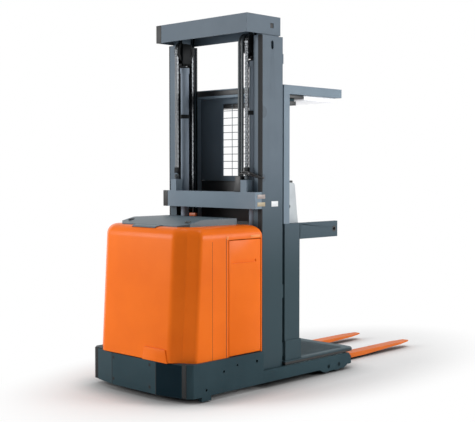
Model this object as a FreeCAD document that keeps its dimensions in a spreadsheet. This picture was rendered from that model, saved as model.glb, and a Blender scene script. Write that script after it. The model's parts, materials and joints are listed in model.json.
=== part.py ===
import FreeCAD, Part
import os
import re

import Sketcher

# Stand-up order picker truck with a two stage mast, lowered.
# X runs across the truck (plus is its left side), Y along it with the forks
# pointing to plus Y, Z up from the floor. The origin is on the floor, in the
# middle of the overall width and length.
# Along the truck, sizes are stations: millimetres behind a line across its
# front, which cuts the bumper. MIDDLE is the station of the origin.

SIZES = [
    # name, millimetres or degrees, what it measures
    ("overall_width", 1067, "over the side skirts and the base legs"),
    ("floor_gap", 41, "floor to the underside of skirts and legs"),
    ("plate", 12, "steel plate of the chassis"),
    # power unit
    ("skirt_front", 20, "station of the front of the chassis"),
    ("skirt_length", 755, "station of the rear edge of the side skirts, at the mast"),
    ("skirt_top", 275, "top of the side skirts and deck"),
    ("skirt_corner", 35, "slanted front corners of the chassis, along the truck"),
    ("skirt_corner_width", 33.5, "the same across the truck"),
    ("bumper_gap", 5, "bumper's top edge below the hood"),
    ("bumper_top", "=skirt_top - bumper_gap", "top of the front bumper"),
    ("bumper_reach", 31, "bumper face ahead of the line of station 0"),
    ("bumper_flat", 482, "width of the flat middle of the bumper"),
    ("bumper_inset", 74.5, "ends of the bumper inside the overall width, each side"),
    ("bumper_end", 11, "station of the bumper's end corners"),
    ("foot_front", 132, "station of the skid foot below each skirt"),
    ("foot_length", 88, "length of a skid foot"),
    ("foot_width", 38, "width of a skid foot"),
    ("foot_gap", 9, "floor to a skid foot"),
    ("foot_hole_level", 84, "level of the hole above a skid foot"),
    ("hole_front", 347, "station of the front hole in a skirt"),
    ("hole_front_level", 188, "level of that hole"),
    ("hole_middle", 481, "station of the middle hole"),
    ("hole_rear", 684, "station of the rear hole"),
    ("hole_level", 214, "level of the middle and rear holes"),
    ("hole_small", 9, "radius of the smaller holes"),
    ("hole_large", 11, "radius of the rear hole"),
    ("hood_reach", 23, "foot of the hood's front ahead of the line of station 0"),
    ("hood_lean", 53, "how far the front leans back below the top rounding"),
    ("skirt_ledge", 18.5, "skirt beyond the hood, each side"),
    ("hood_width", "=overall_width - skirt_ledge * 2", "width over the hood sides"),
    ("hood_top", 1199, "top of the hood"),
    ("hood_round", 80, "rounding of the hood's top edge"),
    ("hood_wall", 6, "thickness of the hood"),
    ("hood_corner", 158, "width of each slanted corner of the hood"),
    ("hood_flank", 95, "station where the corner meets the side at the foot"),
    ("hood_flank_top", 144, "the same just below the top rounding"),
    ("hood_fold", 8, "how far the corner is folded in"),
    ("door_front", 414, "station of the front edge of a battery door"),
    ("door_rear", 741, "station of the rear edge of a battery door"),
    ("door_top", 1100, "top edge of a battery door"),
    ("door_wall", 18, "thickness of a battery door"),
    ("door_pin", 4, "radius of the battery door's pivots"),
    ("door_pin_reach", 11, "length of a pivot beyond the door"),
    ("door_block", 26, "hinge block inside the hood above a door"),
    ("seam", 5, "gap between panels that move"),
    ("lid_front", 120, "station of the front edge of the top lid"),
    ("lid_rear", 640, "station of the lid's hinge edge"),
    ("lid_ledge", 144, "hood beyond the lid, each side"),
    ("lid_width", "=hood_width - lid_ledge * 2", "width of the top lid"),
    ("lid_corner", 56, "slanted front corners of the lid, along the truck"),
    ("lid_corner_width", 71, "the same across the truck"),
    ("lid_height", 46, "height of the lid above the hood"),
    ("lid_nose", 8, "height of the lid's front edge above the hood"),
    ("lid_slope", 170, "length of the sloped front of the lid"),
    ("lid_wall", 12, "thickness of the lid over its hollow"),
    ("lid_rim", 40, "lid overlap on the hood round its opening"),
    ("lid_hinge", 16, "lid's rear edge to its hinge pin"),
    ("lid_hinge_level", 8, "hinge pin above the hood"),
    ("lid_knuckle", 7, "radius of a hinge knuckle"),
    ("lid_pin", 5, "radius of the hinge pin"),
    ("lid_tab", 150, "inner side of a knuckle from the middle"),
    ("lid_tab_width", 40, "width of a knuckle on the lid"),
    ("lid_lug", 12, "width of a knuckle on the hood"),
    ("lid_lug_gap", 4, "between those two knuckles"),
    # masses inside
    ("battery_front", 424, "station of the battery's front"),
    ("battery_length", 310, "battery along the truck"),
    ("battery_room", 35, "battery to the hood's side, each side"),
    ("battery_width", "=hood_width - battery_room * 2", "battery across the truck"),
    ("battery_height", 780, "battery height"),
    ("pump_width", 190, "pump and tank, width"),
    ("pump_room", 110, "pump and tank to the hood's side"),
    ("pump_front", 110, "pump and tank, front station"),
    ("pump_length", 270, "pump and tank, length"),
    ("pump_height", 400, "pump and tank, height"),
    # drive unit and casters
    ("drive_station", 250, "station of the steering axis"),
    ("drive_radius", 127, "drive wheel radius"),
    ("drive_width", 120, "drive wheel width"),
    ("turntable_radius", 145, "turntable of the drive unit"),
    ("turntable_rim", 168, "rim of the turntable, on the deck"),
    ("turntable_rim_height", 20, "height of that rim"),
    ("deck_hole", 155, "radius of the hole for the drive unit"),
    ("motor_radius", 105, "traction motor radius"),
    ("motor_height", 400, "traction motor above the turntable"),
    ("gear_width", 70, "gear case beside the drive wheel"),
    ("gear_radius", 58, "round end of the gear case"),
    ("axle_radius", 20, "drive axle radius"),
    ("pin_gap", 0.3, "clearance round a pin or at a seat"),
    ("caster_inset", 138.5, "caster swivel axis inside the overall width"),
    ("caster_side", "=overall_width / 2 - caster_inset", "the same from the middle"),
    ("caster_station", 150, "station of the caster swivel axis"),
    ("caster_trail", 35, "caster wheel behind its swivel axis"),
    ("caster_radius", 63, "caster wheel radius"),
    ("caster_width", 44, "caster wheel width"),
    ("caster_cheek", 8, "thickness of the caster fork's cheeks"),
    ("caster_plate", 45, "radius of the caster's swivel plate"),
    ("caster_plate_height", 16, "height of that plate"),
    ("caster_pin", 14, "radius of the caster's swivel pin"),
    ("caster_axle", 8, "radius of the caster's axle"),
    ("caster_mount", 104, "width of the mount above a caster"),
    # base legs and load wheels
    ("leg_width", 120, "base leg width"),
    ("leg_top", 131, "top of the base legs"),
    ("leg_end", 1792, "station of the leg ends"),
    ("leg_nose", 30, "chamfer at the leg end"),
    ("load_radius", 55, "load wheel radius"),
    ("load_width", 82, "load wheel width"),
    ("load_front", 1508, "station of the front load wheels"),
    ("load_pitch", 128, "from one load wheel to the next"),
    ("load_axle", 12, "load wheel axle radius"),
    ("cheek_bottom", 19, "lowest edge of the plates that carry the load wheels"),
    ("cheek_slant", 42, "slanted ends of those plates"),
    # mast
    ("mast_ledge", 33.5, "overall width beyond the mast, each side"),
    ("mast_width", "=overall_width - mast_ledge * 2", "over the outer mast rails"),
    ("mast_front", 767, "station of the front of the rails"),
    ("rail_depth", 229, "outer rail along the truck"),
    ("rail_web", 12, "outer rail web"),
    ("rail_flange", 18, "outer rail flange thickness"),
    ("rail_reach", 82, "outer rail flange width"),
    ("mast_height", 2718, "top of the head beam, the lowered height"),
    ("head_height", 135, "height of the head beam"),
    ("head_bottom", "=mast_height - head_height", "underside of the head beam"),
    ("rail_drop", 8, "head beam down to the outer rails"),
    ("rail_top", "=head_bottom - rail_drop", "top of the outer rails"),
    ("slot_height", 62, "oblong slot near the rail top"),
    ("slot_width", 26, "width of that slot"),
    ("slot_drop", 65, "rail top down to the middle of that slot"),
    ("run_gap", 7, "clearance between mast stages"),
    ("inner_web", 12, "inner rail web"),
    ("inner_flange", 16, "inner rail flange thickness"),
    ("inner_reach", 57, "inner rail flange width"),
    ("inner_bottom", 160, "lower end of the inner rails"),
    ("beam_front", 700, "station of the middle beam's face"),
    ("beam_bottom", 1313, "underside of the middle beam"),
    ("beam_height", 122, "height of the middle beam"),
    ("beam_plate", 10, "plate of the middle beam"),
    ("lower_height", 180, "height of the lower cross plate of the mast"),
    ("head_inset", "=rail_web + run_gap - head_plate", "head beam inside the mast's width, each side"),
    ("head_front", 622, "station of the front of the head beam"),
    ("head_rear", 981, "station of the rear of the head beam"),
    ("head_plate", 8, "plate of the head beam"),
    ("head_window", 36, "square window in each end of the head beam"),
    ("head_window_station", 888, "station of that window"),
    ("tie_height", 32, "lower tie of the inner mast"),
    ("tie_depth", 66, "the same along the truck"),
    # lift cylinders and chains
    ("ram_inset", 128, "lift cylinder inside the mast's width"),
    ("ram_side", "=mast_width / 2 - ram_inset", "lift cylinder from the middle"),
    ("ram_station", 815, "station of the lift cylinders and sheaves"),
    ("ram_radius", 32, "lift cylinder barrel radius"),
    ("ram_collar", 37, "radius of the cylinder's gland"),
    ("ram_collar_height", 42, "height of that gland"),
    ("ram_foot", 150, "level of the cylinder's foot"),
    ("ram_drop", 180, "rail top down to the top of the barrel"),
    ("ram_top", "=rail_top - ram_drop", "top of the barrel"),
    ("rod_radius", 22, "piston rod radius"),
    ("rod_bottom", 600, "lower end of the piston rod"),
    ("yoke_gap", 17, "barrel to the sheave yoke"),
    ("yoke_level", "=ram_top + yoke_gap", "underside of the sheave yoke"),
    ("yoke_plate", 16, "foot plate of the yoke"),
    ("yoke_cheek", 8, "cheeks of the yoke"),
    ("yoke_depth", 80, "yoke along the truck"),
    ("sheave_inset", 120, "chain sheave inside the mast's width"),
    ("sheave_side", "=mast_width / 2 - sheave_inset", "chain sheave from the middle"),
    ("sheave_drop", 62, "head beam's underside down to the sheave axle"),
    ("sheave_level", "=head_bottom - sheave_drop", "sheave axle above the floor"),
    ("sheave_rim", 84, "rim radius of a sheave"),
    ("sheave_groove", 72, "groove radius of a sheave"),
    ("sheave_width", 40, "sheave width"),
    ("sheave_side_gap", 3, "sheave to yoke cheek"),
    ("sheave_axle", 15, "sheave axle radius"),
    ("chain_width", 30, "leaf chain width"),
    ("chain_depth", 14, "leaf chain depth"),
    ("anchor_height", 88, "chain anchor block on the middle beam"),
    ("stud_height", 80, "chain stud above it"),
    ("stud_radius", 9, "chain stud radius"),
    ("chain_hook", 480, "level where a chain ends on the carriage"),
    ("hose_inset", 196, "inner hose inside the mast's width"),
    ("hose_side", "=mast_width / 2 - hose_inset", "hose nearer the middle"),
    ("hose_pitch", 30, "between the two hoses"),
    ("hose_radius", 11, "hose radius"),
    ("pulley_radius", 60, "radius of the hose pulley's groove"),
    ("pulley_margin", 10, "pulley beyond the middle of each outer hose"),
    ("hose_bracket", 95, "height of the hose bracket on the middle beam"),
    ("hose_bracket_depth", 40, "the same along the truck"),
    # carriage, platform and forks
    ("arm_plate", 10, "roller arm plate of the carriage"),
    ("arm_bottom", 200, "lower end of the roller arms"),
    ("arm_top", 740, "upper end of the roller arms"),
    ("roller_radius", 66, "carriage roller radius"),
    ("roller_width", 36, "carriage roller width"),
    ("roller_stub", 20, "carriage roller stub radius"),
    ("back_front", 1003, "station where the carriage starts behind the mast"),
    ("back_plate", 19, "cross members of the carriage"),
    ("back_height", 100, "height of those cross members"),
    ("platform_top", 165, "platform floor above the ground"),
    ("platform_plate", 25, "thickness of the platform deck"),
    ("platform_ledge", 8.5, "overall width beyond the platform, each side"),
    ("platform_width", "=overall_width - platform_ledge * 2", "platform width"),
    ("platform_end", 1850, "station of the platform's rear edge"),
    ("platform_corner", 70, "rounding of its rear corners"),
    ("frame_bottom", 62, "underside of the platform's frame"),
    ("frame_gap", 8, "platform frame to the legs"),
    ("fork_heel", 1786, "station of the fork face"),
    ("fork_length", 1150, "fork length"),
    ("fork_inset", 140, "fork middle to the inner side of a base leg"),
    ("fork_side", "=overall_width / 2 - leg_width - fork_inset", "the same from the truck's middle"),
    ("fork_width", 100, "fork width"),
    ("fork_top", 57, "fork top above the floor"),
    ("fork_thick", 38, "fork thickness at the heel"),
    ("fork_tip", 12, "fork thickness at the tip"),
    ("fork_taper", 700, "tapered length of a fork"),
    ("fork_point", 150, "narrowed length at the tip"),
    ("fork_point_width", 56, "width of the tip"),
    # operator's place
    ("back_margin", 10, "cross members short of the mast's width, each side"),
    ("column_depth", 170, "side column along the truck"),
    ("column_width", 60, "side column across the truck"),
    ("column_top", 1194, "top of the side columns"),
    ("column_wall", 5, "side column sheet"),
    ("kick_height", 150, "thicker foot of a side column"),
    ("kick_plate", 8, "how much thicker"),
    ("post_front", 1010, "station of the front of a guard post"),
    ("post_depth", 65, "guard post along the truck"),
    ("post_width", 50, "guard post across the truck"),
    ("guard_end", 1697, "station of the rear of the overhead guard"),
    ("guard_bottom", 2163, "underside of the overhead guard"),
    ("guard_top", 2230, "top of the overhead guard"),
    ("guard_bar", 50, "side bars of the overhead guard"),
    ("slat_count", 4, "slats of the overhead guard"),
    ("slat_width", 22, "width of a slat"),
    ("slat_height", 34, "height of a slat"),
    ("screen_bottom", 1510, "lower edge of the mast screen"),
    ("screen_plate", 8, "sheet of the mast screen"),
    ("screen_window", 396, "width of the wired window"),
    ("screen_rim", 40, "sheet above and below the window"),
    ("wire_radius", 2.5, "wire of the screen"),
    ("wire_pitch", 57, "between the level wires"),
    ("console_top", 1500, "top of the control console"),
    ("console_bottom", 1010, "underside of the control console"),
    ("console_depth", 165, "console along the truck"),
    ("console_slope", 38, "how far its rear leans forward at the top"),
    ("console_edge", 300, "height of the leaning part"),
    ("gate_end", 1650, "station of the rear end of a side gate"),
    ("gate_bottom", 1072, "underside of a side gate"),
    ("gate_top", 1195, "top of a side gate"),
    ("gate_thick", 28, "thickness of a side gate"),
    ("gate_nose", 11, "rounding at the gate's hinge"),
    ("gate_pin", 5, "gate hinge pin radius"),
    ("gate_lug", 16, "hinge lug on the column"),
    ("gate_lug_gap", 4, "lug to gate"),
    ("gate_hole", 14, "radius of the hand hole at the gate's end"),
]

HALF = "(overall_width / 2)"
MAST_HALF = "(mast_width / 2)"
MIDDLE = "((fork_heel + fork_length - bumper_reach) / 2)"
MAST_REAR = "(mast_front + rail_depth)"
BEAM_TOP = "(beam_bottom + beam_height)"
DECK_UNDER = "(skirt_top - plate)"
LEG_INNER = f"({HALF} - leg_width)"
LEG_MIDDLE = f"({HALF} - leg_width / 2)"
INNER_OUT = f"({MAST_HALF} - rail_web - run_gap)"
INNER_IN = f"({INNER_OUT} - inner_reach)"
INNER_FRONT = "(mast_front + rail_flange + run_gap)"
INNER_REAR = f"({MAST_REAR} - rail_flange - run_gap)"
CHAIN_REACH = "(sheave_groove + chain_depth / 2)"
PULLEY_STATION = f"(ram_station - {CHAIN_REACH} + pulley_radius + hose_radius)"
COLUMN_IN = f"({MAST_HALF} - column_width)"
COLUMN_FRONT = "(back_front + back_plate)"
COLUMN_REAR = "(back_front + back_plate + column_depth)"
POST_IN = f"({MAST_HALF} - post_width)"
POST_REAR = "(post_front + post_depth)"
HEAD_HALF = f"({MAST_HALF} - head_inset)"
LID_AXIS = ("lid_rear + lid_hinge", "hood_top + lid_hinge_level")

# Shares of an inset by which the corners of the hood's outline move: the end
# of its flat front, the start of its side, and its fold across and along.
FACE_MITRE = 0.33
FLANK_MITRE = 0.5
FOLD_SHARE_ACROSS = 0.6
FOLD_SHARE_ALONG = 0.8
# The top rounding in flat steps: shares of its radius inward and upward.
ROUNDING_STEPS = ((0.0, 0.0), (0.13, 0.5), (0.5, 0.87), (1.0, 1.0))

doc = FreeCAD.newDocument("OrderPicker")
sheet = doc.addObject("Spreadsheet::Sheet", "Dims")
for row, (alias, value, note) in enumerate(SIZES, start=1):
    sheet.set(f"A{row}", note)
    sheet.setAlias(f"B{row}", alias)
for row, (alias, value, note) in enumerate(SIZES, start=1):
    sheet.set(f"B{row}", str(value))
doc.recompute()
NAMES = {alias for alias, _, _ in SIZES}
station_text = {}
nodes = {}


def formula(text):
    """Write a size formula with each name as a cell of the sheet."""
    def prefixed(word):
        return "Dims." + word.group(0) if word.group(0) in NAMES else word.group(0)

    return re.sub(r"[a-z_]\w*", prefixed, text)


def size(text):
    """Work out a size formula as a number."""
    values = {name: float(sheet.get(name)) for name in re.findall(r"[a-z_]\w*", text)}
    whole = re.sub(r"[a-z_]\w*", lambda word: repr(values[word.group(0)]), text)
    return FreeCAD.Units.Quantity(whole).Value


def bind(item, name, text):
    """Tie one property of an object to a formula."""
    item.setExpression(name, formula(text))


def place(item, x, y, z):
    """Tie an object's place to formulas; y is a station."""
    bind(item, "Placement.Base.x", x)
    bind(item, "Placement.Base.y", y)
    bind(item, "Placement.Base.z", z)
    station_text[item.Name] = y
    return item


def block(name, x, y, z):
    """A box between low and high formulas on each axis."""
    item = doc.addObject("Part::Box", name)
    for side, (low, high) in zip(("Length", "Width", "Height"), (x, y, z)):
        bind(item, side, f"({high}) - ({low})")
    return place(item, x[0], y[0], z[0])


TURNS = {
    "X": FreeCAD.Rotation(FreeCAD.Vector(0, 1, 0), 90),
    "Y": FreeCAD.Rotation(FreeCAD.Vector(1, 0, 0), -90),
    "Z": FreeCAD.Rotation(),
}


def rod(name, axis, start, radius, length):
    """A round bar from its start point along one axis."""
    item = doc.addObject("Part::Cylinder", name)
    bind(item, "Radius", radius)
    bind(item, "Height", length)
    item.Placement = FreeCAD.Placement(FreeCAD.Vector(), TURNS[axis])
    return place(item, *start)


def fuse(name, *pieces):
    """Join pieces into one."""
    item = doc.addObject("Part::MultiFuse", name)
    item.Shapes = list(pieces)
    item.Refine = True
    return item


def cut(name, base, *tools):
    """Take the tools away from the base."""
    item = doc.addObject("Part::Cut", name)
    item.Base = base
    item.Tool = tools[0] if len(tools) == 1 else fuse(name + "_tools", *tools)
    return item


def common(name, *pieces):
    """Keep what all pieces share."""
    item = doc.addObject("Part::MultiCommon", name)
    item.Shapes = list(pieces)
    return item


def mirror(name, source):
    """The same piece on the truck's other side."""
    item = doc.addObject("Part::Mirroring", name)
    item.Source = source
    item.Normal = FreeCAD.Vector(1, 0, 0)
    return item


def outline(body, name, plane, level, points):
    """A closed sketch of straight lines; each corner is tied to two formulas."""
    sketch = body.newObject("Sketcher::SketchObject", name)
    flat = [feature for feature in body.Origin.OriginFeatures if feature.Role == plane]
    sketch.AttachmentSupport = [(flat[0], "")]
    sketch.MapMode = "FlatFace"
    bind(sketch, "AttachmentOffset.Base.z", level)
    corners = [FreeCAD.Vector(size(x), size(y), 0) for x, y in points]
    count = len(points)
    for index, corner in enumerate(corners):
        sketch.addGeometry(Part.LineSegment(corner, corners[(index + 1) % count]), False)
    for index in range(count):
        sketch.addConstraint(Sketcher.Constraint("Coincident", index, 2, (index + 1) % count, 1))
    for index, (point, corner) in enumerate(zip(points, corners)):
        for kind, text, value in zip(("DistanceX", "DistanceY"), point, (corner.x, corner.y)):
            number = sketch.addConstraint(Sketcher.Constraint(kind, -1, 1, index, 1, value))
            bind(sketch, f"Constraints[{number}]", text)
    return sketch


def prism(name, plane, points, low, high):
    """A body padded from an outline between two levels across its plane."""
    body = doc.addObject("PartDesign::Body", name)
    level = low
    if plane == "XZ_Plane":
        level = f"-({high})"
    sketch = outline(body, name + "_outline", plane, level, points)
    pad = body.newObject("PartDesign::Pad", name + "_pad")
    pad.Profile = sketch
    bind(pad, "Length", f"({high}) - ({low})")
    sketch.Visibility = False
    return body


def loft(name, sections):
    """A body through outlines at rising levels, with straight sides."""
    body = doc.addObject("PartDesign::Body", name)
    sketches = []
    for index, (level, points) in enumerate(sections):
        sketches.append(outline(body, f"{name}_level{index}", "XY_Plane", level, points))
    skin = body.newObject("PartDesign::AdditiveLoft", name + "_skin")
    skin.Profile = sketches[0]
    skin.Sections = sketches[1:]
    skin.Ruled = True
    return body


def node(name, item):
    """Name a finished piece and move it from stations to the truck's origin."""
    item.Label = name
    bind(item, "Placement.Base.y", f"({station_text.get(item.Name, '0')}) - {MIDDLE}")
    nodes[name] = item
    return item


def twin(name, source):
    """The finished mirror image of a finished piece."""
    item = mirror(name + "_item", source)
    item.Label = name
    nodes[name] = item
    return item


def both(name, source):
    """A piece and its mirror image in one node."""
    return node(name, fuse(name + "_pair", source, mirror(name + "_mirror", source)))


def pair_span(text):
    """Low and high formulas of a span about the middle."""
    return (f"-({text})", text)


# Holes through both side skirts: station, level, radius
SKIRT_HOLES = [
    ("hole_front", "hole_front_level", "hole_small"),
    ("hole_middle", "hole_level", "hole_small"),
    ("hole_rear", "hole_level", "hole_large"),
    ("foot_front + foot_length / 2", "foot_hole_level", "hole_small"),
]


# Chassis: skirts and deck in one weldment, open below

def skirt_points(inset, mitre):
    """Outline of the chassis in plan, with its slanted front corners."""
    nose = f"{HALF} - skirt_corner_width - ({mitre})"
    bend = f"skirt_front + skirt_corner + ({mitre})"
    right = [(nose, f"skirt_front + ({inset})"), (f"{HALF} - ({inset})", bend),
             (f"{HALF} - ({inset})", f"skirt_length - ({inset})")]
    return right + [(f"-({x})", y) for x, y in reversed(right)]


def chassis():
    """Side skirts, end plates and deck, with the mounts for the casters."""
    outer = prism("skirt_box", "XY_Plane", skirt_points("0", "0"), "floor_gap", "skirt_top")
    inside = prism("skirt_room", "XY_Plane", skirt_points("plate", "plate / 2"),
                   "floor_gap - plate", DECK_UNDER)
    hole = rod("drive_hole", "Z", ("0", "drive_station", DECK_UNDER + " - plate"), "deck_hole",
               "plate * 3")
    tray = cut("skirt_tray", outer, inside, hole)
    mount_low = "caster_radius * 2 + plate + caster_plate_height + pin_gap"
    mount = block("caster_block", ("caster_side - caster_mount / 2", "caster_side + caster_mount / 2"),
                  ("caster_station - caster_mount / 2", "caster_station + caster_mount / 2"),
                  (mount_low, DECK_UNDER))
    bore = rod("caster_bore", "Z", ("caster_side", "caster_station", "floor_gap"),
               "caster_pin + pin_gap", "skirt_top - plate - floor_gap")
    mount = cut("caster_mount_left", mount, bore)
    foot = block("skid_foot", (f"{HALF} - foot_width", HALF), ("foot_front", "foot_front + foot_length"),
                 ("foot_gap", "floor_gap"))
    drills = []
    for index, (along, level, radius) in enumerate(SKIRT_HOLES):
        drills.append(rod(f"skirt_drill{index}", "X", (f"-{HALF} - plate", along, level),
                          radius, "overall_width + plate * 2"))
    pivot = ("hood_width / 2 - door_wall / 2", "door_front + door_wall / 2", DECK_UNDER + " - plate")
    pivot_hole = rod("door_pivot_hole", "Z", pivot, "door_pin + pin_gap", "plate * 3")
    drills += [pivot_hole, mirror("door_pivot_hole_right", pivot_hole)]
    whole = fuse("chassis_weld", tray, mount, mirror("caster_mount_right", mount),
                 foot, mirror("skid_foot_right", foot))
    node("chassis_frame", cut("chassis_cut", whole, *drills))


def bumper():
    """The heavy faceted plate across the front."""
    side = f"({HALF} - bumper_inset)"
    points = [(f"-{side}", "skirt_front"), (f"-{side}", "bumper_end"),
              ("-bumper_flat / 2", "-bumper_reach"), ("bumper_flat / 2", "-bumper_reach"),
              (side, "bumper_end"), (side, "skirt_front")]
    node("front_bumper", prism("bumper_body", "XY_Plane", points, "floor_gap", "bumper_top"))


def legs():
    """The base legs, open below where the load wheels run."""
    side = [("skirt_length", "floor_gap"), ("leg_end", "floor_gap"), ("leg_end", "leg_top - leg_nose"),
            ("leg_end - leg_nose", "leg_top"), ("skirt_length", "leg_top")]
    bar = prism("leg_bar", "YZ_Plane", side, LEG_INNER, HALF)
    bay_front = "load_front - load_radius - plate"
    bay_rear = "load_front + load_pitch + load_radius + plate"
    bay = block("leg_bay", (f"{LEG_INNER} + plate", f"{HALF} - plate"), (bay_front, bay_rear),
                ("floor_gap - plate", "leg_top - plate"))
    parts = [cut("leg_open", bar, bay)]
    cheek = [(f"{bay_front} - cheek_slant", "floor_gap"), (bay_front, "cheek_bottom"),
             (bay_rear, "cheek_bottom"), (f"{bay_rear} + cheek_slant", "floor_gap")]
    parts.append(prism("leg_cheek_inner", "YZ_Plane", cheek, LEG_INNER, f"{LEG_INNER} + plate"))
    parts.append(prism("leg_cheek_outer", "YZ_Plane", cheek, f"{HALF} - plate", HALF))
    for index, along in enumerate(("load_front", "load_front + load_pitch")):
        parts.append(rod(f"load_axle{index}", "X", (LEG_INNER, along, "load_radius"), "load_axle",
                         "leg_width"))
    twin("base_leg_right", node("base_leg_left", fuse("leg_weld", *parts)))


def wheel(name, centre, radius, width, bore):
    """A plain wheel on a lateral axle."""
    x, y, z = centre
    tyre = rod(name + "_tyre", "X", (f"{x} - ({width}) / 2", y, z), radius, width)
    hole = rod(name + "_bore", "X", (f"{x} - ({width})", y, z), f"{bore} + pin_gap", f"({width}) * 2")
    return node(name, cut(name + "_cut", tyre, hole))


def load_wheels():
    """Two wheels in a row under each leg end."""
    places = (("front", "load_front"), ("rear", "load_front + load_pitch"))
    for title, along in places:
        left = wheel(f"load_wheel_{title}_left", (LEG_MIDDLE, along, "load_radius"),
                     "load_radius", "load_width", "load_axle")
        twin(f"load_wheel_{title}_right", left)


def drive():
    """The steered drive unit and its wheel."""
    centre = ("0", "drive_station")
    table_low = "drive_radius * 2 + run_gap"
    rim = rod("turntable_rim_disc", "Z", (*centre, "skirt_top + pin_gap"), "turntable_rim",
              "turntable_rim_height")
    table = rod("turntable", "Z", (*centre, table_low), "turntable_radius",
                f"skirt_top + turntable_rim_height - ({table_low})")
    motor = rod("traction_motor", "Z", (*centre, "skirt_top + turntable_rim_height"), "motor_radius",
                "motor_height")
    gear_in = "drive_width / 2 + run_gap"
    gear_out = f"{gear_in} + gear_width"
    gear = block("gear_case", (gear_in, gear_out), ("drive_station - gear_radius",
                                                    "drive_station + gear_radius"),
                 ("drive_radius", table_low))
    gear_end = rod("gear_case_end", "X", (gear_in, "drive_station", "drive_radius"), "gear_radius",
                   "gear_width")
    axle = rod("drive_axle", "X", ("-drive_width / 2", "drive_station", "drive_radius"), "axle_radius",
               f"drive_width / 2 + {gear_in}")
    node("drive_unit", fuse("drive_unit_weld", rim, table, motor, gear, gear_end, axle))
    wheel("drive_wheel", ("0", "drive_station", "drive_radius"), "drive_radius", "drive_width",
          "axle_radius")


def casters():
    """Swivel casters at the front corners."""
    axis = ("caster_side", "caster_station")
    crown_low = "caster_radius * 2 + plate"
    crown = rod("caster_disc", "Z", (*axis, crown_low), "caster_plate", "caster_plate_height")
    pin = rod("caster_pivot", "Z", (*axis, crown_low), "caster_pin",
              f"{DECK_UNDER} - ({crown_low}) - run_gap")
    inner = "caster_width / 2 + sheave_side_gap"
    parts = [crown, pin]
    for index, (low, high) in enumerate(((f"-({inner}) - caster_cheek", f"-({inner})"),
                                         (inner, f"{inner} + caster_cheek"))):
        parts.append(block(f"caster_cheek{index}", (f"caster_side + ({low})", f"caster_side + ({high})"),
                           ("caster_station - caster_plate / 2",
                            "caster_station + caster_trail + caster_plate / 2"),
                           ("caster_radius - caster_plate / 2", f"{crown_low} + caster_plate_height")))
    parts.append(rod("caster_axle_bar", "X", (f"caster_side - ({inner}) - caster_cheek",
                                              "caster_station + caster_trail", "caster_radius"),
                     "caster_axle", f"({inner} + caster_cheek) * 2"))
    twin("caster_fork_right", node("caster_fork_left", fuse("caster_fork_weld", *parts)))
    left = wheel("caster_wheel_left", ("caster_side", "caster_station + caster_trail", "caster_radius"),
                 "caster_radius", "caster_width", "caster_axle")
    twin("caster_wheel_right", left)


def masses():
    """Heavy things inside the hood, each a plain block."""
    node("battery", block("battery_block", pair_span("battery_width / 2"),
                          ("battery_front", "battery_front + battery_length"),
                          ("skirt_top", "skirt_top + battery_height")))
    pump_in = "hood_width / 2 - pump_room - pump_width"
    node("pump_unit", block("pump_block", (pump_in, f"{pump_in} + pump_width"),
                            ("pump_front", "pump_front + pump_length"),
                            ("skirt_top", "skirt_top + pump_height")))


def hood_points(inset, share):
    """Outline of the hood in plan; share is 0 at its foot and 1 below the top rounding."""
    face = "(hood_width / 2 - hood_corner)"
    front = f"(hood_lean * {share} - hood_reach)"
    flank = f"(hood_flank + (hood_flank_top - hood_flank) * {share})"
    side = f"hood_width / 2 - ({inset})"
    fold = (f"({face} + hood_width / 2) / 2 - (hood_fold + ({inset})) * {FOLD_SHARE_ACROSS}",
            f"({flank} + {front}) / 2 + (hood_fold + ({inset})) * {FOLD_SHARE_ALONG}")
    right = [(f"{face} - ({inset}) * {FACE_MITRE}", f"{front} + ({inset})"), fold,
             (side, f"{flank} + ({inset}) * {FLANK_MITRE}"), (side, f"skirt_length - ({inset})")]
    return right + [(f"-({x})", y) for x, y in reversed(right)]


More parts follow.
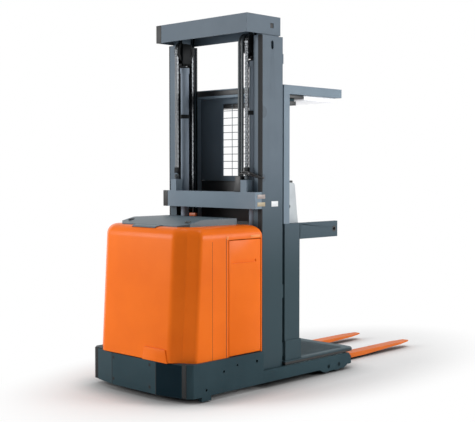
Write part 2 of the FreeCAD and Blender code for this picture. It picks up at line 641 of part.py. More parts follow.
def hood():
    """The power unit's hood: a folded shell, open below, at the battery doors and under the lid."""
    outer = [("skirt_top", hood_points("0", 0))]
    inner = [("skirt_top - pin_gap", hood_points("hood_wall", 0))]
    for inward, upward in ROUNDING_STEPS:
        outer.append((f"hood_top - hood_round + hood_round * {upward}",
                      hood_points(f"hood_round * {inward}", 1)))
        inner.append((f"hood_top - hood_wall - hood_round + hood_round * {upward}",
                      hood_points(f"hood_wall + hood_round * {inward}", 1)))
    shell = cut("hood_shell", loft("hood_outer", outer), loft("hood_inner", inner))
    wide = "hood_width / 2 + plate"
    tools = [
        block("door_opening", pair_span(wide), ("door_front - seam", "door_rear + seam"),
              ("skirt_top - plate", "door_top + seam")),
        block("lid_opening", pair_span("lid_width / 2 - lid_rim"),
              ("lid_front + lid_rim", "lid_rear - lid_rim"),
              ("hood_top - hood_round * 2", "hood_top + plate")),
    ]
    block_item = block("hinge_block", ("hood_width / 2 - door_wall - door_pin",
                                       "hood_width / 2 - hood_wall / 2"),
                       ("door_front - seam", "door_front - seam + door_block"),
                       ("door_top + seam", "door_top + seam + door_wall"))
    pivot = ("hood_width / 2 - door_wall / 2", "door_front + door_wall / 2", "door_top")
    bore = rod("hinge_bore", "Z", pivot, "door_pin + pin_gap", "door_wall * 2")
    opened = cut("hood_open", shell, *tools)
    lug_in = "lid_tab + lid_tab_width + lid_lug_gap"
    lug = rod("lid_lug_round", "X", (lug_in, *LID_AXIS), "lid_knuckle", "lid_lug")
    stand = block("lid_lug_stand", (lug_in, f"{lug_in} + lid_lug"),
                  (f"{LID_AXIS[0]} - lid_knuckle", f"{LID_AXIS[0]} + lid_knuckle"),
                  ("hood_top", LID_AXIS[1]))
    lid_bore = rod("lid_bore", "X", (lug_in, *LID_AXIS), "lid_pin + pin_gap", "lid_lug")
    fittings = [block_item, lug, stand]
    fittings += [mirror(item.Name + "_right", item) for item in fittings]
    bores = [bore, lid_bore]
    bores += [mirror(item.Name + "_right", item) for item in bores]
    node("power_hood", cut("hood_cut", fuse("hood_weld", opened, *fittings), *bores))


def battery_doors():
    """The panels beside the battery, hinged at their front edges."""
    across = ("hood_width / 2 - door_wall", "hood_width / 2")
    level = ("skirt_top + seam", "door_top")
    axis = ("hood_width / 2 - door_wall / 2", "door_front + door_wall / 2")
    leaf = block("door_leaf", across, (axis[1], "door_rear"), level)
    edge = rod("door_edge", "Z", (*axis, level[0]), "door_wall / 2", f"{level[1]} - ({level[0]})")
    pins = rod("door_pins", "Z", (*axis, f"{level[0]} - door_pin_reach"), "door_pin",
               f"{level[1]} - ({level[0]}) + seam + door_pin_reach * 2")
    twin("battery_door_right", node("battery_door_left", fuse("door_weld", leaf, edge, pins)))


def lid():
    """The cover on top of the hood, hinged at its rear edge."""
    low = "hood_top + pin_gap"
    side = [("lid_front", low), ("lid_rear", low), ("lid_rear", "hood_top + lid_height"),
            ("lid_front + lid_slope", "hood_top + lid_height"),
            ("lid_front", "hood_top + lid_nose")]
    half = "lid_width / 2"
    right = [("lid_width / 2 - lid_corner_width", "lid_front"), (half, "lid_front + lid_corner"),
             (half, "lid_rear")]
    plan = right + [(f"-({x})", y) for x, y in reversed(right)]
    cover = common("lid_cover", prism("lid_side_body", "YZ_Plane", side, f"-{half}", half),
                   prism("lid_plan_body", "XY_Plane", plan, low, "hood_top + lid_height"))
    ceiling = "hood_top + lid_height - lid_wall"
    room = [("lid_front + lid_rim", "hood_top"), ("lid_rear - lid_rim", "hood_top"),
            ("lid_rear - lid_rim", ceiling), ("lid_front + lid_slope", ceiling),
            ("lid_front + lid_rim", "hood_top + lid_nose")]
    inner_half = "(lid_width / 2 - lid_rim)"
    hollow = prism("lid_hollow", "YZ_Plane", room, f"-{inner_half}", inner_half)
    tab = rod("lid_tab_round", "X", ("lid_tab", *LID_AXIS), "lid_knuckle", "lid_tab_width")
    arm = block("lid_tab_arm", ("lid_tab", "lid_tab + lid_tab_width"), ("lid_rear", LID_AXIS[0]),
                (low, f"{LID_AXIS[1]} + lid_knuckle"))
    pin = rod("lid_hinge_pin", "X", ("lid_tab", *LID_AXIS), "lid_pin",
              "lid_tab_width + lid_lug_gap + lid_lug")
    fittings = [tab, arm, pin]
    fittings += [mirror(item.Name + "_right", item) for item in fittings]
    node("top_lid", fuse("lid_weld", cut("lid_shell", cover, hollow), *fittings))


# Mast

def outer_mast():
    """Two rails that stand on the legs, tied by a middle beam and a lower plate."""
    rail = block("rail_bar", (f"{MAST_HALF} - rail_reach", MAST_HALF), ("mast_front", MAST_REAR),
                 ("leg_top", "rail_top"))
    groove = block("rail_groove", (f"{MAST_HALF} - rail_reach * 2", f"{MAST_HALF} - rail_web"),
                   ("mast_front + rail_flange", f"{MAST_REAR} - rail_flange"),
                   ("leg_top - plate", "rail_top + plate"))
    middle = "mast_front + rail_depth / 2"
    slot_ends = [f"rail_top - slot_drop {sign} (slot_height - slot_width) / 2" for sign in "-+"]
    slot = block("rail_slot", (f"{MAST_HALF} - rail_web * 2", f"{MAST_HALF} + plate"),
                 (f"{middle} - slot_width / 2", f"{middle} + slot_width / 2"),
                 slot_ends)
    ends = []
    for index, level in enumerate(slot_ends):
        ends.append(rod(f"rail_slot_end{index}", "X", (f"{MAST_HALF} - rail_web * 2", middle, level),
                        "slot_width / 2", "rail_web * 2 + plate"))
    left = node("outer_rail_left", cut("rail_cut", rail, groove, slot, *ends))
    twin("outer_rail_right", left)

    beam = block("beam_bar", pair_span(MAST_HALF), ("beam_front", "mast_front"),
                 ("beam_bottom", BEAM_TOP))
    hollow = block("beam_hollow", pair_span(f"{MAST_HALF} - beam_plate"),
                   ("beam_front + beam_plate", "mast_front + plate"),
                   ("beam_bottom + beam_plate", f"{BEAM_TOP} - beam_plate"))
    anchor = block("chain_anchor", ("sheave_side - chain_width", "sheave_side + chain_width"),
                   ("beam_front + pin_gap", "mast_front - pin_gap"),
                   (BEAM_TOP, f"{BEAM_TOP} + anchor_height"))
    stud = rod("chain_stud", "Z", ("sheave_side", f"ram_station - {CHAIN_REACH}",
                                   f"{BEAM_TOP} + anchor_height"),
               "stud_radius", "stud_height")
    saddle = block("ram_saddle", ("ram_side - ram_radius", "ram_side + ram_radius"),
                   ("beam_front + plate", "ram_station"),
                   ("beam_bottom", BEAM_TOP))
    ram_room = rod("ram_room", "Z", ("ram_side", "ram_station", "beam_bottom - plate"),
                   "ram_radius + pin_gap",
                   "beam_height + plate * 2")
    saddle = cut("ram_clamp", saddle, ram_room)
    beam = cut("beam_channel", beam, hollow)
    hose_station = f"ram_station - {CHAIN_REACH}"
    bracket = block("hose_bracket_block", ("hose_side - hose_radius",
                                           "hose_side + hose_pitch + hose_radius"),
                    (f"{hose_station} - hose_bracket_depth / 2",
                     f"{hose_station} + hose_bracket_depth / 2 - plate"),
                    (BEAM_TOP, f"{BEAM_TOP} + hose_bracket"))
    fittings = [anchor, stud, saddle]
    mirrored = [mirror(item.Name + "_right", item) for item in fittings]
    node("mast_middle_beam", fuse("beam_weld", beam, bracket, *fittings, *mirrored))

    sill = block("lower_sill", pair_span(f"{MAST_HALF} - rail_reach"),
                 ("mast_front", f"{MAST_REAR} - rail_flange"),
                 ("leg_top", "ram_foot"))
    apron = block("lower_apron", pair_span(f"{MAST_HALF} - rail_reach"),
                  ("mast_front", "mast_front + rail_web"),
                  ("leg_top", "leg_top + lower_height"))
    node("mast_lower_beam", fuse("lower_weld", sill, apron))


def rams():
    """Lift cylinder barrels on the sill and piston rods under the head beam."""
    start = ("ram_side", "ram_station")
    barrel = rod("ram_barrel", "Z", (*start, "ram_foot"), "ram_radius", "ram_top - ram_foot")
    collar = rod("ram_gland", "Z", (*start, "ram_top - ram_collar_height"), "ram_collar",
                 "ram_collar_height")
    bore = rod("ram_bore", "Z", (*start, "rod_bottom - plate"), "rod_radius + pin_gap",
               "ram_top - rod_bottom + plate * 2")
    both("lift_cylinders", cut("ram_tube", fuse("ram_outer", barrel, collar), bore))
    both("piston_rods", rod("ram_piston", "Z", (*start, "rod_bottom"), "rod_radius",
                            "yoke_level - rod_bottom"))


def inner_mast():
    """Inner rails, head beam with the sheave yokes, and the lower tie."""
    rail_high = "mast_height - head_plate"
    rail = block("inner_bar", (INNER_IN, INNER_OUT), (INNER_FRONT, INNER_REAR),
                 ("inner_bottom", rail_high))
    groove = block("inner_groove", (f"{INNER_IN} - plate", f"{INNER_OUT} - inner_web"),
                   (f"{INNER_FRONT} + inner_flange", f"{INNER_REAR} - inner_flange"),
                   ("inner_bottom - plate", f"{rail_high} + plate"))
    twin("inner_rail_right", node("inner_rail_left", cut("inner_cut", rail, groove)))

    head = block("head_bar", pair_span(HEAD_HALF), ("head_front", "head_rear"),
                 ("head_bottom", "mast_height"))
    room = block("head_room", pair_span(f"{HEAD_HALF} - head_plate"),
                 ("head_front + head_plate", "head_rear - head_plate"),
                 ("head_bottom - plate", "mast_height - head_plate"))
    window_level = "(head_bottom + mast_height) / 2"
    window = block("head_hole", pair_span(f"{MAST_HALF} + plate"),
                   ("head_window_station - head_window / 2", "head_window_station + head_window / 2"),
                   (f"{window_level} - head_window / 2", f"{window_level} + head_window / 2"))
    cheek_in = "sheave_side - sheave_width / 2 - sheave_side_gap"
    cheek_out = "sheave_side + sheave_width / 2 + sheave_side_gap"
    along = ("ram_station - yoke_depth / 2", "ram_station + yoke_depth / 2")
    foot = block("yoke_foot", (f"{cheek_in} - yoke_cheek", f"{cheek_out} + yoke_cheek"), along,
                 ("yoke_level", "yoke_level + yoke_plate"))
    inside = block("yoke_inside", (f"{cheek_in} - yoke_cheek", cheek_in), along,
                   ("yoke_level", "mast_height - head_plate"))
    outside = block("yoke_outside", (cheek_out, f"{cheek_out} + yoke_cheek"), along,
                    ("yoke_level", "mast_height - head_plate"))
    pin = rod("yoke_pin", "X", (cheek_in, "ram_station", "sheave_level"), "sheave_axle",
              f"({cheek_out}) - ({cheek_in})")
    shell = cut("head_channel", head, room, window)
    pulley_low = "hose_side - pulley_margin"
    pulley_high = "hose_side + hose_pitch + pulley_margin"
    pulley_at = (f"{PULLEY_STATION}", "sheave_level")
    pulley = rod("hose_pulley", "X", (pulley_low, *pulley_at), "pulley_radius",
                 f"{pulley_high} - ({pulley_low})")
    pulley_pin = rod("hose_pulley_pin", "X", (pulley_low, *pulley_at), "sheave_axle",
                     f"{cheek_in} - ({pulley_low})")
    fittings = [foot, inside, outside, pin]
    mirrored = [mirror(item.Name + "_right", item) for item in fittings]
    node("head_beam", fuse("head_weld", shell, pulley, pulley_pin, *fittings, *mirrored))
    node("inner_tie", block("inner_tie_bar", pair_span(INNER_IN),
                            (f"{INNER_REAR} - tie_depth", INNER_REAR),
                            ("inner_bottom", "inner_bottom + tie_height")))


def sheaves():
    """Grooved chain sheaves in the yokes."""
    low = "sheave_side - sheave_width / 2"
    rim = "(sheave_width - chain_width) / 2 - sheave_side_gap / 2"
    start = ("ram_station", "sheave_level")
    disc = rod("sheave_disc", "X", (low, *start), "sheave_groove", "sheave_width")
    left_rim = rod("sheave_rim_low", "X", (low, *start), "sheave_rim", rim)
    right_rim = rod("sheave_rim_high", "X", (f"sheave_side + sheave_width / 2 - ({rim})", *start),
                    "sheave_rim", rim)
    bore = rod("sheave_bore", "X", (f"{low} - plate", *start), "sheave_axle + pin_gap",
               "sheave_width + plate * 2")
    left = node("chain_sheave_left", cut("sheave_cut", fuse("sheave_wheel", disc, left_rim, right_rim),
                                         bore))
    twin("chain_sheave_right", left)


def strands():
    """Lift chains: one strand down to the middle beam, one down to the carriage."""
    across = ("sheave_side - chain_width / 2", "sheave_side + chain_width / 2")
    ahead = f"ram_station - {CHAIN_REACH}"
    behind = f"ram_station + {CHAIN_REACH}"
    front = block("chain_front", across, (f"{ahead} - chain_depth / 2", f"{ahead} + chain_depth / 2"),
                  (f"{BEAM_TOP} + anchor_height + stud_height", "sheave_level"))
    rear = block("chain_rear", across, (f"{behind} - chain_depth / 2", f"{behind} + chain_depth / 2"),
                 ("chain_hook", "sheave_level"))
    both("front_chains", front)
    both("rear_chains", rear)
    hoses = {"front": [], "rear": []}
    for index in range(2):
        side = f"hose_side + hose_pitch * {index}"
        front_at = (side, f"{PULLEY_STATION} - pulley_radius - hose_radius", f"{BEAM_TOP} + hose_bracket")
        rear_at = (side, f"{PULLEY_STATION} + pulley_radius + hose_radius", "arm_bottom + back_height")
        hoses["front"].append(rod(f"hose_front{index}", "Z", front_at, "hose_radius",
                                  f"sheave_level - ({front_at[2]})"))
        hoses["rear"].append(rod(f"hose_rear{index}", "Z", rear_at, "hose_radius",
                                 f"sheave_level - ({rear_at[2]})"))
    for title, pair in hoses.items():
        node(f"{title}_hoses", fuse(f"{title}_hose_pair", *pair))


# Carriage with the operator's place

def carriage():
    """Roller arms inside the inner rails and cross members behind the mast."""
    arm_out = f"({MAST_HALF} - rail_reach - run_gap)"
    arm_in = f"({arm_out} - arm_plate)"
    roller_station = f"({INNER_FRONT} + {INNER_REAR}) / 2"
    arm = block("arm_sheet", (arm_in, arm_out), (f"{roller_station} - roller_stub",
                                                 "back_front + back_plate"),
                ("arm_bottom", "arm_top"))
    parts = [arm]
    for index, level in enumerate(("arm_bottom + roller_radius", "arm_top - roller_radius")):
        roller_in = f"{INNER_IN} + pin_gap"
        parts.append(rod(f"roller_stub{index}", "X", (arm_in, roller_station, level), "roller_stub",
                         f"{roller_in} + roller_width / 2 - {arm_in}"))
        parts.append(rod(f"roller{index}", "X", (roller_in, roller_station, level), "roller_radius",
                         "roller_width"))
    parts.append(block("chain_lug", ("sheave_side - chain_width / 2", arm_out),
                       (f"ram_station + {CHAIN_REACH} - chain_depth",
                        f"ram_station + {CHAIN_REACH} + chain_depth"),
                       ("chain_hook - back_height / 2", "chain_hook")))
    parts += [mirror(item.Name + "_right", item) for item in parts]
    for title, low in (("low", "arm_bottom"), ("high", "arm_top - back_height")):
        parts.append(block(f"back_{title}", pair_span(f"{MAST_HALF} - back_margin"),
                           ("back_front", "back_front + back_plate"), (low, f"{low} + back_height")))
    hose_low = f"{PULLEY_STATION} + pulley_radius"
    parts.append(block("hose_lug", ("hose_side - hose_radius", "hose_side + hose_pitch + hose_radius"),
                       (hose_low, "back_front"),
                       ("arm_bottom + back_height - plate", "arm_bottom + back_height")))
    node("carriage_frame", fuse("carriage_weld", *parts))


def platform():
    """The floor the operator stands on, with its frame between the legs."""
    low = "platform_top - platform_plate"
    deck = prism("platform_deck", "XY_Plane",
                 [("-platform_width / 2", "back_front"), ("platform_width / 2", "back_front"),
                  ("platform_width / 2", "platform_end"), ("-platform_width / 2", "platform_end")],
                 low, "platform_top")
    doc.recompute()
    pad = deck.Tip
    corners = []
    for index, edge in enumerate(pad.Shape.Edges, start=1):
        centre = edge.CenterOfMass
        upright = abs(edge.BoundBox.ZLength - edge.Length) < 1e-6
        if upright and centre.y > size("platform_end") - 1:
            corners.append(f"Edge{index}")
    rounding = deck.newObject("PartDesign::Fillet", "platform_rounding")
    rounding.Base = (pad, corners)
    bind(rounding, "Radius", "platform_corner")
    frame = block("platform_frame", pair_span(f"{LEG_INNER} - frame_gap"),
                  ("back_front", "fork_heel - fork_thick"),
                  ("frame_bottom", low))
    hollow = block("platform_hollow", pair_span(f"{LEG_INNER} - frame_gap - back_plate"),
                   ("back_front + back_plate", "fork_heel - fork_thick - back_plate"),
                   ("frame_bottom - plate", low))
    node("platform", fuse("platform_weld", deck, cut("platform_rim", frame, hollow)))


def forks():
    """Two forks under the platform's rear edge."""
    bottom = "fork_top - fork_thick"
    tip = "fork_heel + fork_length"
    side = [("fork_heel - fork_thick", bottom), (f"{tip} - fork_taper", bottom),
            (tip, "fork_top - fork_tip"),
            (tip, "fork_top"), ("fork_heel", "fork_top"), ("fork_heel", "platform_top - platform_plate"),
            ("fork_heel - fork_thick", "platform_top - platform_plate")]
    blade = prism("fork_side_body", "YZ_Plane", side, "fork_side - fork_width / 2",
                  "fork_side + fork_width / 2")
    plan = [("fork_side - fork_width / 2", "fork_heel - fork_thick"),
            ("fork_side + fork_width / 2", "fork_heel - fork_thick"),
            ("fork_side + fork_width / 2", f"{tip} - fork_point"),
            ("fork_side + fork_point_width / 2", tip),
            ("fork_side - fork_point_width / 2", tip),
            ("fork_side - fork_width / 2", f"{tip} - fork_point")]
    shape = prism("fork_plan_body", "XY_Plane", plan, "0", "platform_top")
    twin("fork_right", node("fork_left", common("fork_blade", blade, shape)))


def columns():
    """Side columns beside the operator, each with the hinge lug of its gate."""
    box = block("column_bar", (COLUMN_IN, MAST_HALF), (COLUMN_FRONT, COLUMN_REAR),
                ("platform_top", "column_top"))
    foot = block("column_foot", (COLUMN_IN, f"{MAST_HALF} + kick_plate"),
                 (COLUMN_FRONT, f"{COLUMN_REAR} + kick_plate"),
                 ("platform_top", "platform_top + kick_height"))
    lug_out = f"{MAST_HALF} - gate_thick - gate_lug_gap"
    gate_axis = f"{COLUMN_REAR} + seam + gate_nose"
    lug = block("gate_lug_plate", (f"{lug_out} - gate_lug", lug_out),
                (COLUMN_REAR, f"{gate_axis} + gate_nose"),
                ("gate_top - gate_nose * 2", "gate_top"))
    pin = rod("gate_pin_bar", "X", (f"{lug_out} - gate_lug", gate_axis, "gate_top - gate_nose"),
              "gate_pin",
              "gate_lug + gate_lug_gap + gate_thick")
    twin("side_column_right", node("side_column_left", fuse("column_weld", box, foot, lug, pin)))


def gates():
    """Side gates: bars that swing up at the columns."""
    thick = (f"{MAST_HALF} - gate_thick", MAST_HALF)
    axis = f"{COLUMN_REAR} + seam + gate_nose"
    front = f"({axis} - gate_nose)"
    bar_low = block("gate_low", thick, (front, "gate_end"), ("gate_bottom", "gate_top - gate_nose"))
    bar_high = block("gate_high", thick, (axis, "gate_end"), ("gate_top - gate_nose", "gate_top"))
    nose = rod("gate_round", "X", (thick[0], axis, "gate_top - gate_nose"), "gate_nose", "gate_thick")
    bore = rod("gate_bore", "X", (f"{thick[0]} - plate", axis, "gate_top - gate_nose"),
               "gate_pin + pin_gap",
               "gate_thick + plate * 2")
    hand = rod("gate_hand", "X", (f"{thick[0]} - plate", "gate_end - gate_hole * 3",
                                  "(gate_bottom + gate_top) / 2"),
               "gate_hole", "gate_thick + plate * 2")
    left = node("side_gate_left", cut("gate_cut", fuse("gate_bar", bar_low, bar_high, nose), bore, hand))
    twin("side_gate_right", left)


def guard():
    """Overhead guard: posts, a ring of bars and slats."""
    post = block("guard_post", (POST_IN, MAST_HALF), ("post_front", POST_REAR),
                 ("column_top", "guard_bottom"))
    ring = block("guard_plate", pair_span(MAST_HALF), ("post_front", "guard_end"),
                 ("guard_bottom", "guard_top"))
    hole = block("guard_hole", pair_span(f"{MAST_HALF} - guard_bar"),
                 ("post_front + guard_bar", "guard_end - guard_bar"),
                 ("guard_bottom - plate", "guard_top + plate"))
    parts = [post, mirror("guard_post_right", post), cut("guard_ring", ring, hole)]
    count = int(size("slat_count"))
    for index in range(1, count + 1):
        room = "(guard_end - post_front - guard_bar * 2)"
        middle = f"post_front + guard_bar + {room} * {index} / (slat_count + 1)"
        parts.append(block(f"slat{index}", pair_span(f"{MAST_HALF} - guard_bar"),
                           (f"{middle} - slat_width / 2", f"{middle} + slat_width / 2"),
                           ("guard_top - slat_height", "guard_top")))
    node("overhead_guard", fuse("guard_weld", *parts))


def screen():
    """Sheet between the guard posts, with a wired window towards the mast."""
    sheet_low = (f"{POST_REAR} - screen_plate", POST_REAR)
    panel = block("screen_sheet", pair_span(POST_IN), sheet_low, ("screen_bottom", "guard_bottom"))
    low = "(screen_bottom + screen_rim)"
    high = "(guard_bottom - screen_rim)"
    window = block("screen_opening", pair_span("screen_window / 2"),
                   (f"{POST_REAR} - plate", f"{POST_REAR} + plate"),
                   (low, high))
    parts = [cut("screen_frame", panel, window)]
    middle = f"{POST_REAR} - screen_plate / 2"
    rows = int((size(high) - size(low)) / size("wire_pitch"))
    for index in range(1, rows + 1):
        parts.append(rod(f"wire_row{index}", "X", ("-screen_window / 2", middle,
                                                   f"{low} + wire_pitch * {index}"),
                         "wire_radius", "screen_window"))
    for index, share in enumerate(("-1 / 4", "0", "1 / 4")):
        parts.append(rod(f"wire_column{index}", "Z", (f"screen_window * ({share})", middle, low),
                         "wire_radius",
                         f"{high} - {low}"))
    node("mast_screen", fuse("screen_weld", *parts))


def console():
    """Control console between the posts, facing the operator."""
    front = POST_REAR
    side = [(front, "console_bottom"), (f"{front} + console_depth", "console_bottom"),
            (f"{front} + console_depth", "console_top - console_edge"),
            (f"{front} + console_depth - console_slope", "console_top"), (front, "console_top")]
    node("control_console", prism("console_body", "YZ_Plane", side, f"-{COLUMN_IN}", COLUMN_IN))


def check_document():
    """Stop if any object failed or any piece is not a valid solid."""
    for item in doc.Objects:
        if "Invalid" in item.State or "Error" in item.State:
            raise RuntimeError(f"{item.Name} failed: {item.State}")
    for name, item in nodes.items():
        if item.Shape.isNull() or not item.Shape.isValid() or not item.Shape.Solids:
            raise RuntimeError(f"{name} has no valid solid")


def main():
    """Build every piece, check it and write it out."""
    for make in (chassis, bumper, legs, load_wheels, drive, casters, masses, hood, battery_doors, lid,
                 outer_mast, rams, inner_mast, sheaves, strands, carriage, platform, forks, columns,
                 gates, guard, screen, console):
        make()
    doc.recompute()
    check_document()
    os.makedirs("parts", exist_ok=True)
    for name, item in nodes.items():
        item.Shape.exportStep(f"parts/{name}.step")
        print(name, len(item.Shape.Solids), round(item.Shape.Volume / 1e6, 3))


main()
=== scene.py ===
"""Finishes and small parts of a stand-up order picker truck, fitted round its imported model."""

import json
import logging
import math
from abc import ABC, abstractmethod
from dataclasses import dataclass, field
from enum import Enum
from typing import Iterable, Sequence

import bmesh
import bpy
from mathutils import Matrix, Vector


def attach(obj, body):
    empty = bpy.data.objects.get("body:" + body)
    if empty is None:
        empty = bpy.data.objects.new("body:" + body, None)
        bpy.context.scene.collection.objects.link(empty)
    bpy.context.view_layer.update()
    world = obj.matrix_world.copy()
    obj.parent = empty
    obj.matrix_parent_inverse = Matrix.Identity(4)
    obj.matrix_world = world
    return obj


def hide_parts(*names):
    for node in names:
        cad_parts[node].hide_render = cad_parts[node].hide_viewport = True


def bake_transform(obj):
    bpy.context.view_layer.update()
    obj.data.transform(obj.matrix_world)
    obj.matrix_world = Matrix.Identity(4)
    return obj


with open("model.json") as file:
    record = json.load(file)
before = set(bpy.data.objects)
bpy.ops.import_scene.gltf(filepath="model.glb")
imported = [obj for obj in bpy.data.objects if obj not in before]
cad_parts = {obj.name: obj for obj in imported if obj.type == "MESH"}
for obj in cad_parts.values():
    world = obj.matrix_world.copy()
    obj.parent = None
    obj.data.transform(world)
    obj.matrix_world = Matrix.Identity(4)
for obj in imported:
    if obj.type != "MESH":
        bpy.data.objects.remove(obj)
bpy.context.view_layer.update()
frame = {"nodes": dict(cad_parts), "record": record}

log = logging.getLogger("order_picker")

MM = 0.001
MIDDLE_STATION = 1452.5
PHOTO_SIZE = (475, 422)
SMOOTH_DEG = 35.0
BROAD_CURVE_DEG = 25.0
FLAT_DEG = 1.0
SHOWN_EDGE_MM = 1.5
SHOWN_EDGE_DEG = 40.0
JOINED_M = 1e-5
LONGEST_ROUNDING = 0.45
TINT_SPAN = (0.35, 0.65)
IOR = 1.5
SIDES = ((1, "left"), (-1, "right"))
QUARTER_TURN = (0.0, math.pi / 2, 0.0)
Point = tuple[float, float, float]
Flat = tuple[float, float]
Box = tuple[float, float, float, float, float, float]
Shape = bmesh.types.BMesh
Piece = bpy.types.Object
Socket = bpy.types.NodeSocket
Tree = bpy.types.NodeTree


class Axis(Enum):
    """A direction of the truck's frame, as its place in a point."""

    X = 0
    Y = 1
    Z = 2


def at(x: float, station: float, z: float) -> Point:
    """Return a point in metres from millimetres across, along (counted from the front) and up."""
    return (x * MM, (station - MIDDLE_STATION) * MM, z * MM)


def linear(hex_colour: str) -> tuple[float, float, float, float]:
    """Turn an sRGB hex colour to linear light.

    Args:
        hex_colour: six hexadecimal digits.

    Returns:
        Red, green, blue and an alpha of one.
    """
    channels = [int(hex_colour[index:index + 2], 16) / 255 for index in (0, 2, 4)]
    values = [c / 12.92 if c <= 0.04045 else ((c + 0.055) / 1.055) ** 2.4 for c in channels]
    return (values[0], values[1], values[2], 1.0)


def add_node(tree: Tree, kind: str, values: dict | None = None) -> bpy.types.Node:
    """Add one node.

    Args:
        tree: the node tree that gets it.
        kind: the node's type name.
        values: attributes of the node, and values or feeding sockets of its inputs by name or number.

    Returns:
        The new node.
    """
    made = tree.nodes.new(kind)
    fed = {key: value for key, value in (values or {}).items() if isinstance(value, Socket)}
    for key, value in (values or {}).items():
        if key in fed:
            continue
        if isinstance(key, int) or key in made.inputs:
            made.inputs[key].default_value = value
        else:
            setattr(made, key, value)
    for key, output in fed.items():
        tree.links.new(output, made.inputs[key])
    return made


def number(tree: Tree, operation: str, *values: Socket | float, clamp: bool = False) -> Socket:
    """Add one sum of numbers or sockets.

    Args:
        tree: the node tree that gets it.
        operation: the sum's name.
        values: its terms.
        clamp: keep the result between 0 and 1.

    Returns:
        The result.
    """
    inputs = dict(enumerate(values))
    return add_node(tree, "ShaderNodeMath", {"operation": operation, "use_clamp": clamp, **inputs}).outputs[0]


# Finishes

class Sheen(Enum):
    """How glossy a coat of paint is, as the roughness it gives."""

    GLOSS = 0.34
    SATIN = 0.42
    DULL = 0.6


@dataclass
class Surface:
    """A material's node tree while a finish fills it."""

    tree: Tree
    shader: bpy.types.Node
    place: Socket

    def dial(self, values: dict[str, object]) -> None:
        """Set inputs of the shader."""
        for title, value in values.items():
            self.shader.inputs[title].default_value = value

    def grain(self, size_mm: float, detail: float = 3.0) -> Socket:
        """Add a noise whose blobs are about size_mm wide and return its strength."""
        values = {"Scale": 1.0 / (size_mm * MM * 2), "Detail": detail, "Vector": self.place}
        return add_node(self.tree, "ShaderNodeTexNoise", values).outputs["Fac"]

    def relief(self, height: Socket, depth_mm: float, strength: float) -> None:
        """Give the shader a bump.

        Args:
            height: what the bump follows.
            depth_mm: how deep it goes.
            strength: how much of it shows, from 0 to 1.
        """
        values = {"Distance": depth_mm * MM, "Strength": strength, "Height": height}
        bump = add_node(self.tree, "ShaderNodeBump", values)
        self.tree.links.new(bump.outputs["Normal"], self.shader.inputs["Normal"])

    def tint(self, share: Socket, low: str, high: str) -> None:
        """Run the shader's colour between two hex colours.

        Args:
            share: the noise that moves the colour.
            low: colour where the noise is weak.
            high: colour where it is strong.
        """
        ramp = add_node(self.tree, "ShaderNodeValToRGB", {"Fac": share})
        for stop, position, colour in zip(ramp.color_ramp.elements, TINT_SPAN, (low, high)):
            stop.position = position
            stop.color = linear(colour)
        self.tree.links.new(ramp.outputs["Color"], self.shader.inputs["Base Color"])

    def cover(self, share: Socket, hex_colour: str) -> None:
        """Lay a colour over the one that is linked to the shader.

        Args:
            share: how much of it covers, from 0 to 1.
            hex_colour: the covering colour.
        """
        under = self.shader.inputs["Base Color"].links[0].from_socket
        values = {"Fac": share, "Color1": under, "Color2": linear(hex_colour)}
        mix = add_node(self.tree, "ShaderNodeMixRGB", values)
        self.tree.links.new(mix.outputs["Color"], self.shader.inputs["Base Color"])


class Finish(ABC):
    """A material that is made once and shared."""

    name: str

    @abstractmethod
    def build(self, surface: Surface) -> None:
        """Add the finish's own nodes to a surface."""

    def material(self) -> bpy.types.Material:
        """Make the material when it is first asked for.

        Returns:
            The finish's one material.
        """
        found = bpy.data.materials.get(self.name)
        if found:
            return found
        made = bpy.data.materials.new(self.name)
        made.use_nodes = True
        tree = made.node_tree
        shader = next(node for node in tree.nodes if node.type == "BSDF_PRINCIPLED")
        self.build(Surface(tree, shader, add_node(tree, "ShaderNodeTexCoord").outputs["Object"]))
        return made


@dataclass(frozen=True)
class SprayedPaint(Finish):
    """Two-pack enamel sprayed on sheet steel: broad soft highlights over a faint orange peel."""

    name: str
    colour: str
    shade: str
    sheen: Sheen
    coat: float = 0.03
    gleam: float = 0.1
    # Colour of painted shade that darkens the paint towards the bottom, and the heights it fades over
    foot: str = ""
    foot_shade_span: Flat = (0.75, 1.75)
    coat_roughness: float = 0.6
    cloud_mm: float = 160.0
    peel_mm: float = 9.0
    peel_depth_mm: float = 0.05
    peel_strength: float = 0.4

    def build(self, surface: Surface) -> None:
        """Add slow clouds of shade and the coat's peel, and paint shade that darkens the foot.

        Args:
            surface: the material that is filled.
        """
        rough = self.sheen.value
        surface.dial({"Roughness": rough, "IOR": IOR, "Specular IOR Level": self.gleam,
                      "Coat Weight": self.coat, "Coat Roughness": rough * self.coat_roughness})
        surface.tint(surface.grain(self.cloud_mm), self.shade, self.colour)
        surface.relief(surface.grain(self.peel_mm, 1.0), self.peel_depth_mm, self.peel_strength)
        # Painted shade: the colour runs to the darker foot colour towards the bottom
        if self.foot:
            height = add_node(surface.tree, "ShaderNodeSeparateXYZ", {0: surface.place}).outputs["Z"]
            low, high = self.foot_shade_span
            foot_shade = add_node(surface.tree, "ShaderNodeMapRange", {
                "interpolation_type": "SMOOTHSTEP", "From Min": low, "From Max": high, "To Min": 1.0,
                "To Max": 0.0, "Value": height})
            surface.cover(foot_shade.outputs["Result"], self.foot)


@dataclass(frozen=True)
class InwardShadedPaint(SprayedPaint):
    """Rail enamel whose faces toward the truck's middle are painted nearly black and even, as painted shade.
    """

    inward_shade: str = "0C1418"
    inward_limit: float = -0.1

    def build(self, surface: Surface) -> None:
        """Cover the faces that look across toward the middle with painted shade.

        Args:
            surface: the material that is filled.
        """
        super().build(surface)
        tree = surface.tree
        facing = add_node(tree, "ShaderNodeTexCoord").outputs["Normal"]
        across = [add_node(tree, "ShaderNodeSeparateXYZ", {0: way}).outputs["X"]
                  for way in (surface.place, facing)]
        # Painted shade: faces that look toward the middle turn nearly black
        inward = number(tree, "LESS_THAN", number(tree, "MULTIPLY", *across), self.inward_limit)
        surface.cover(inward, self.inward_shade)


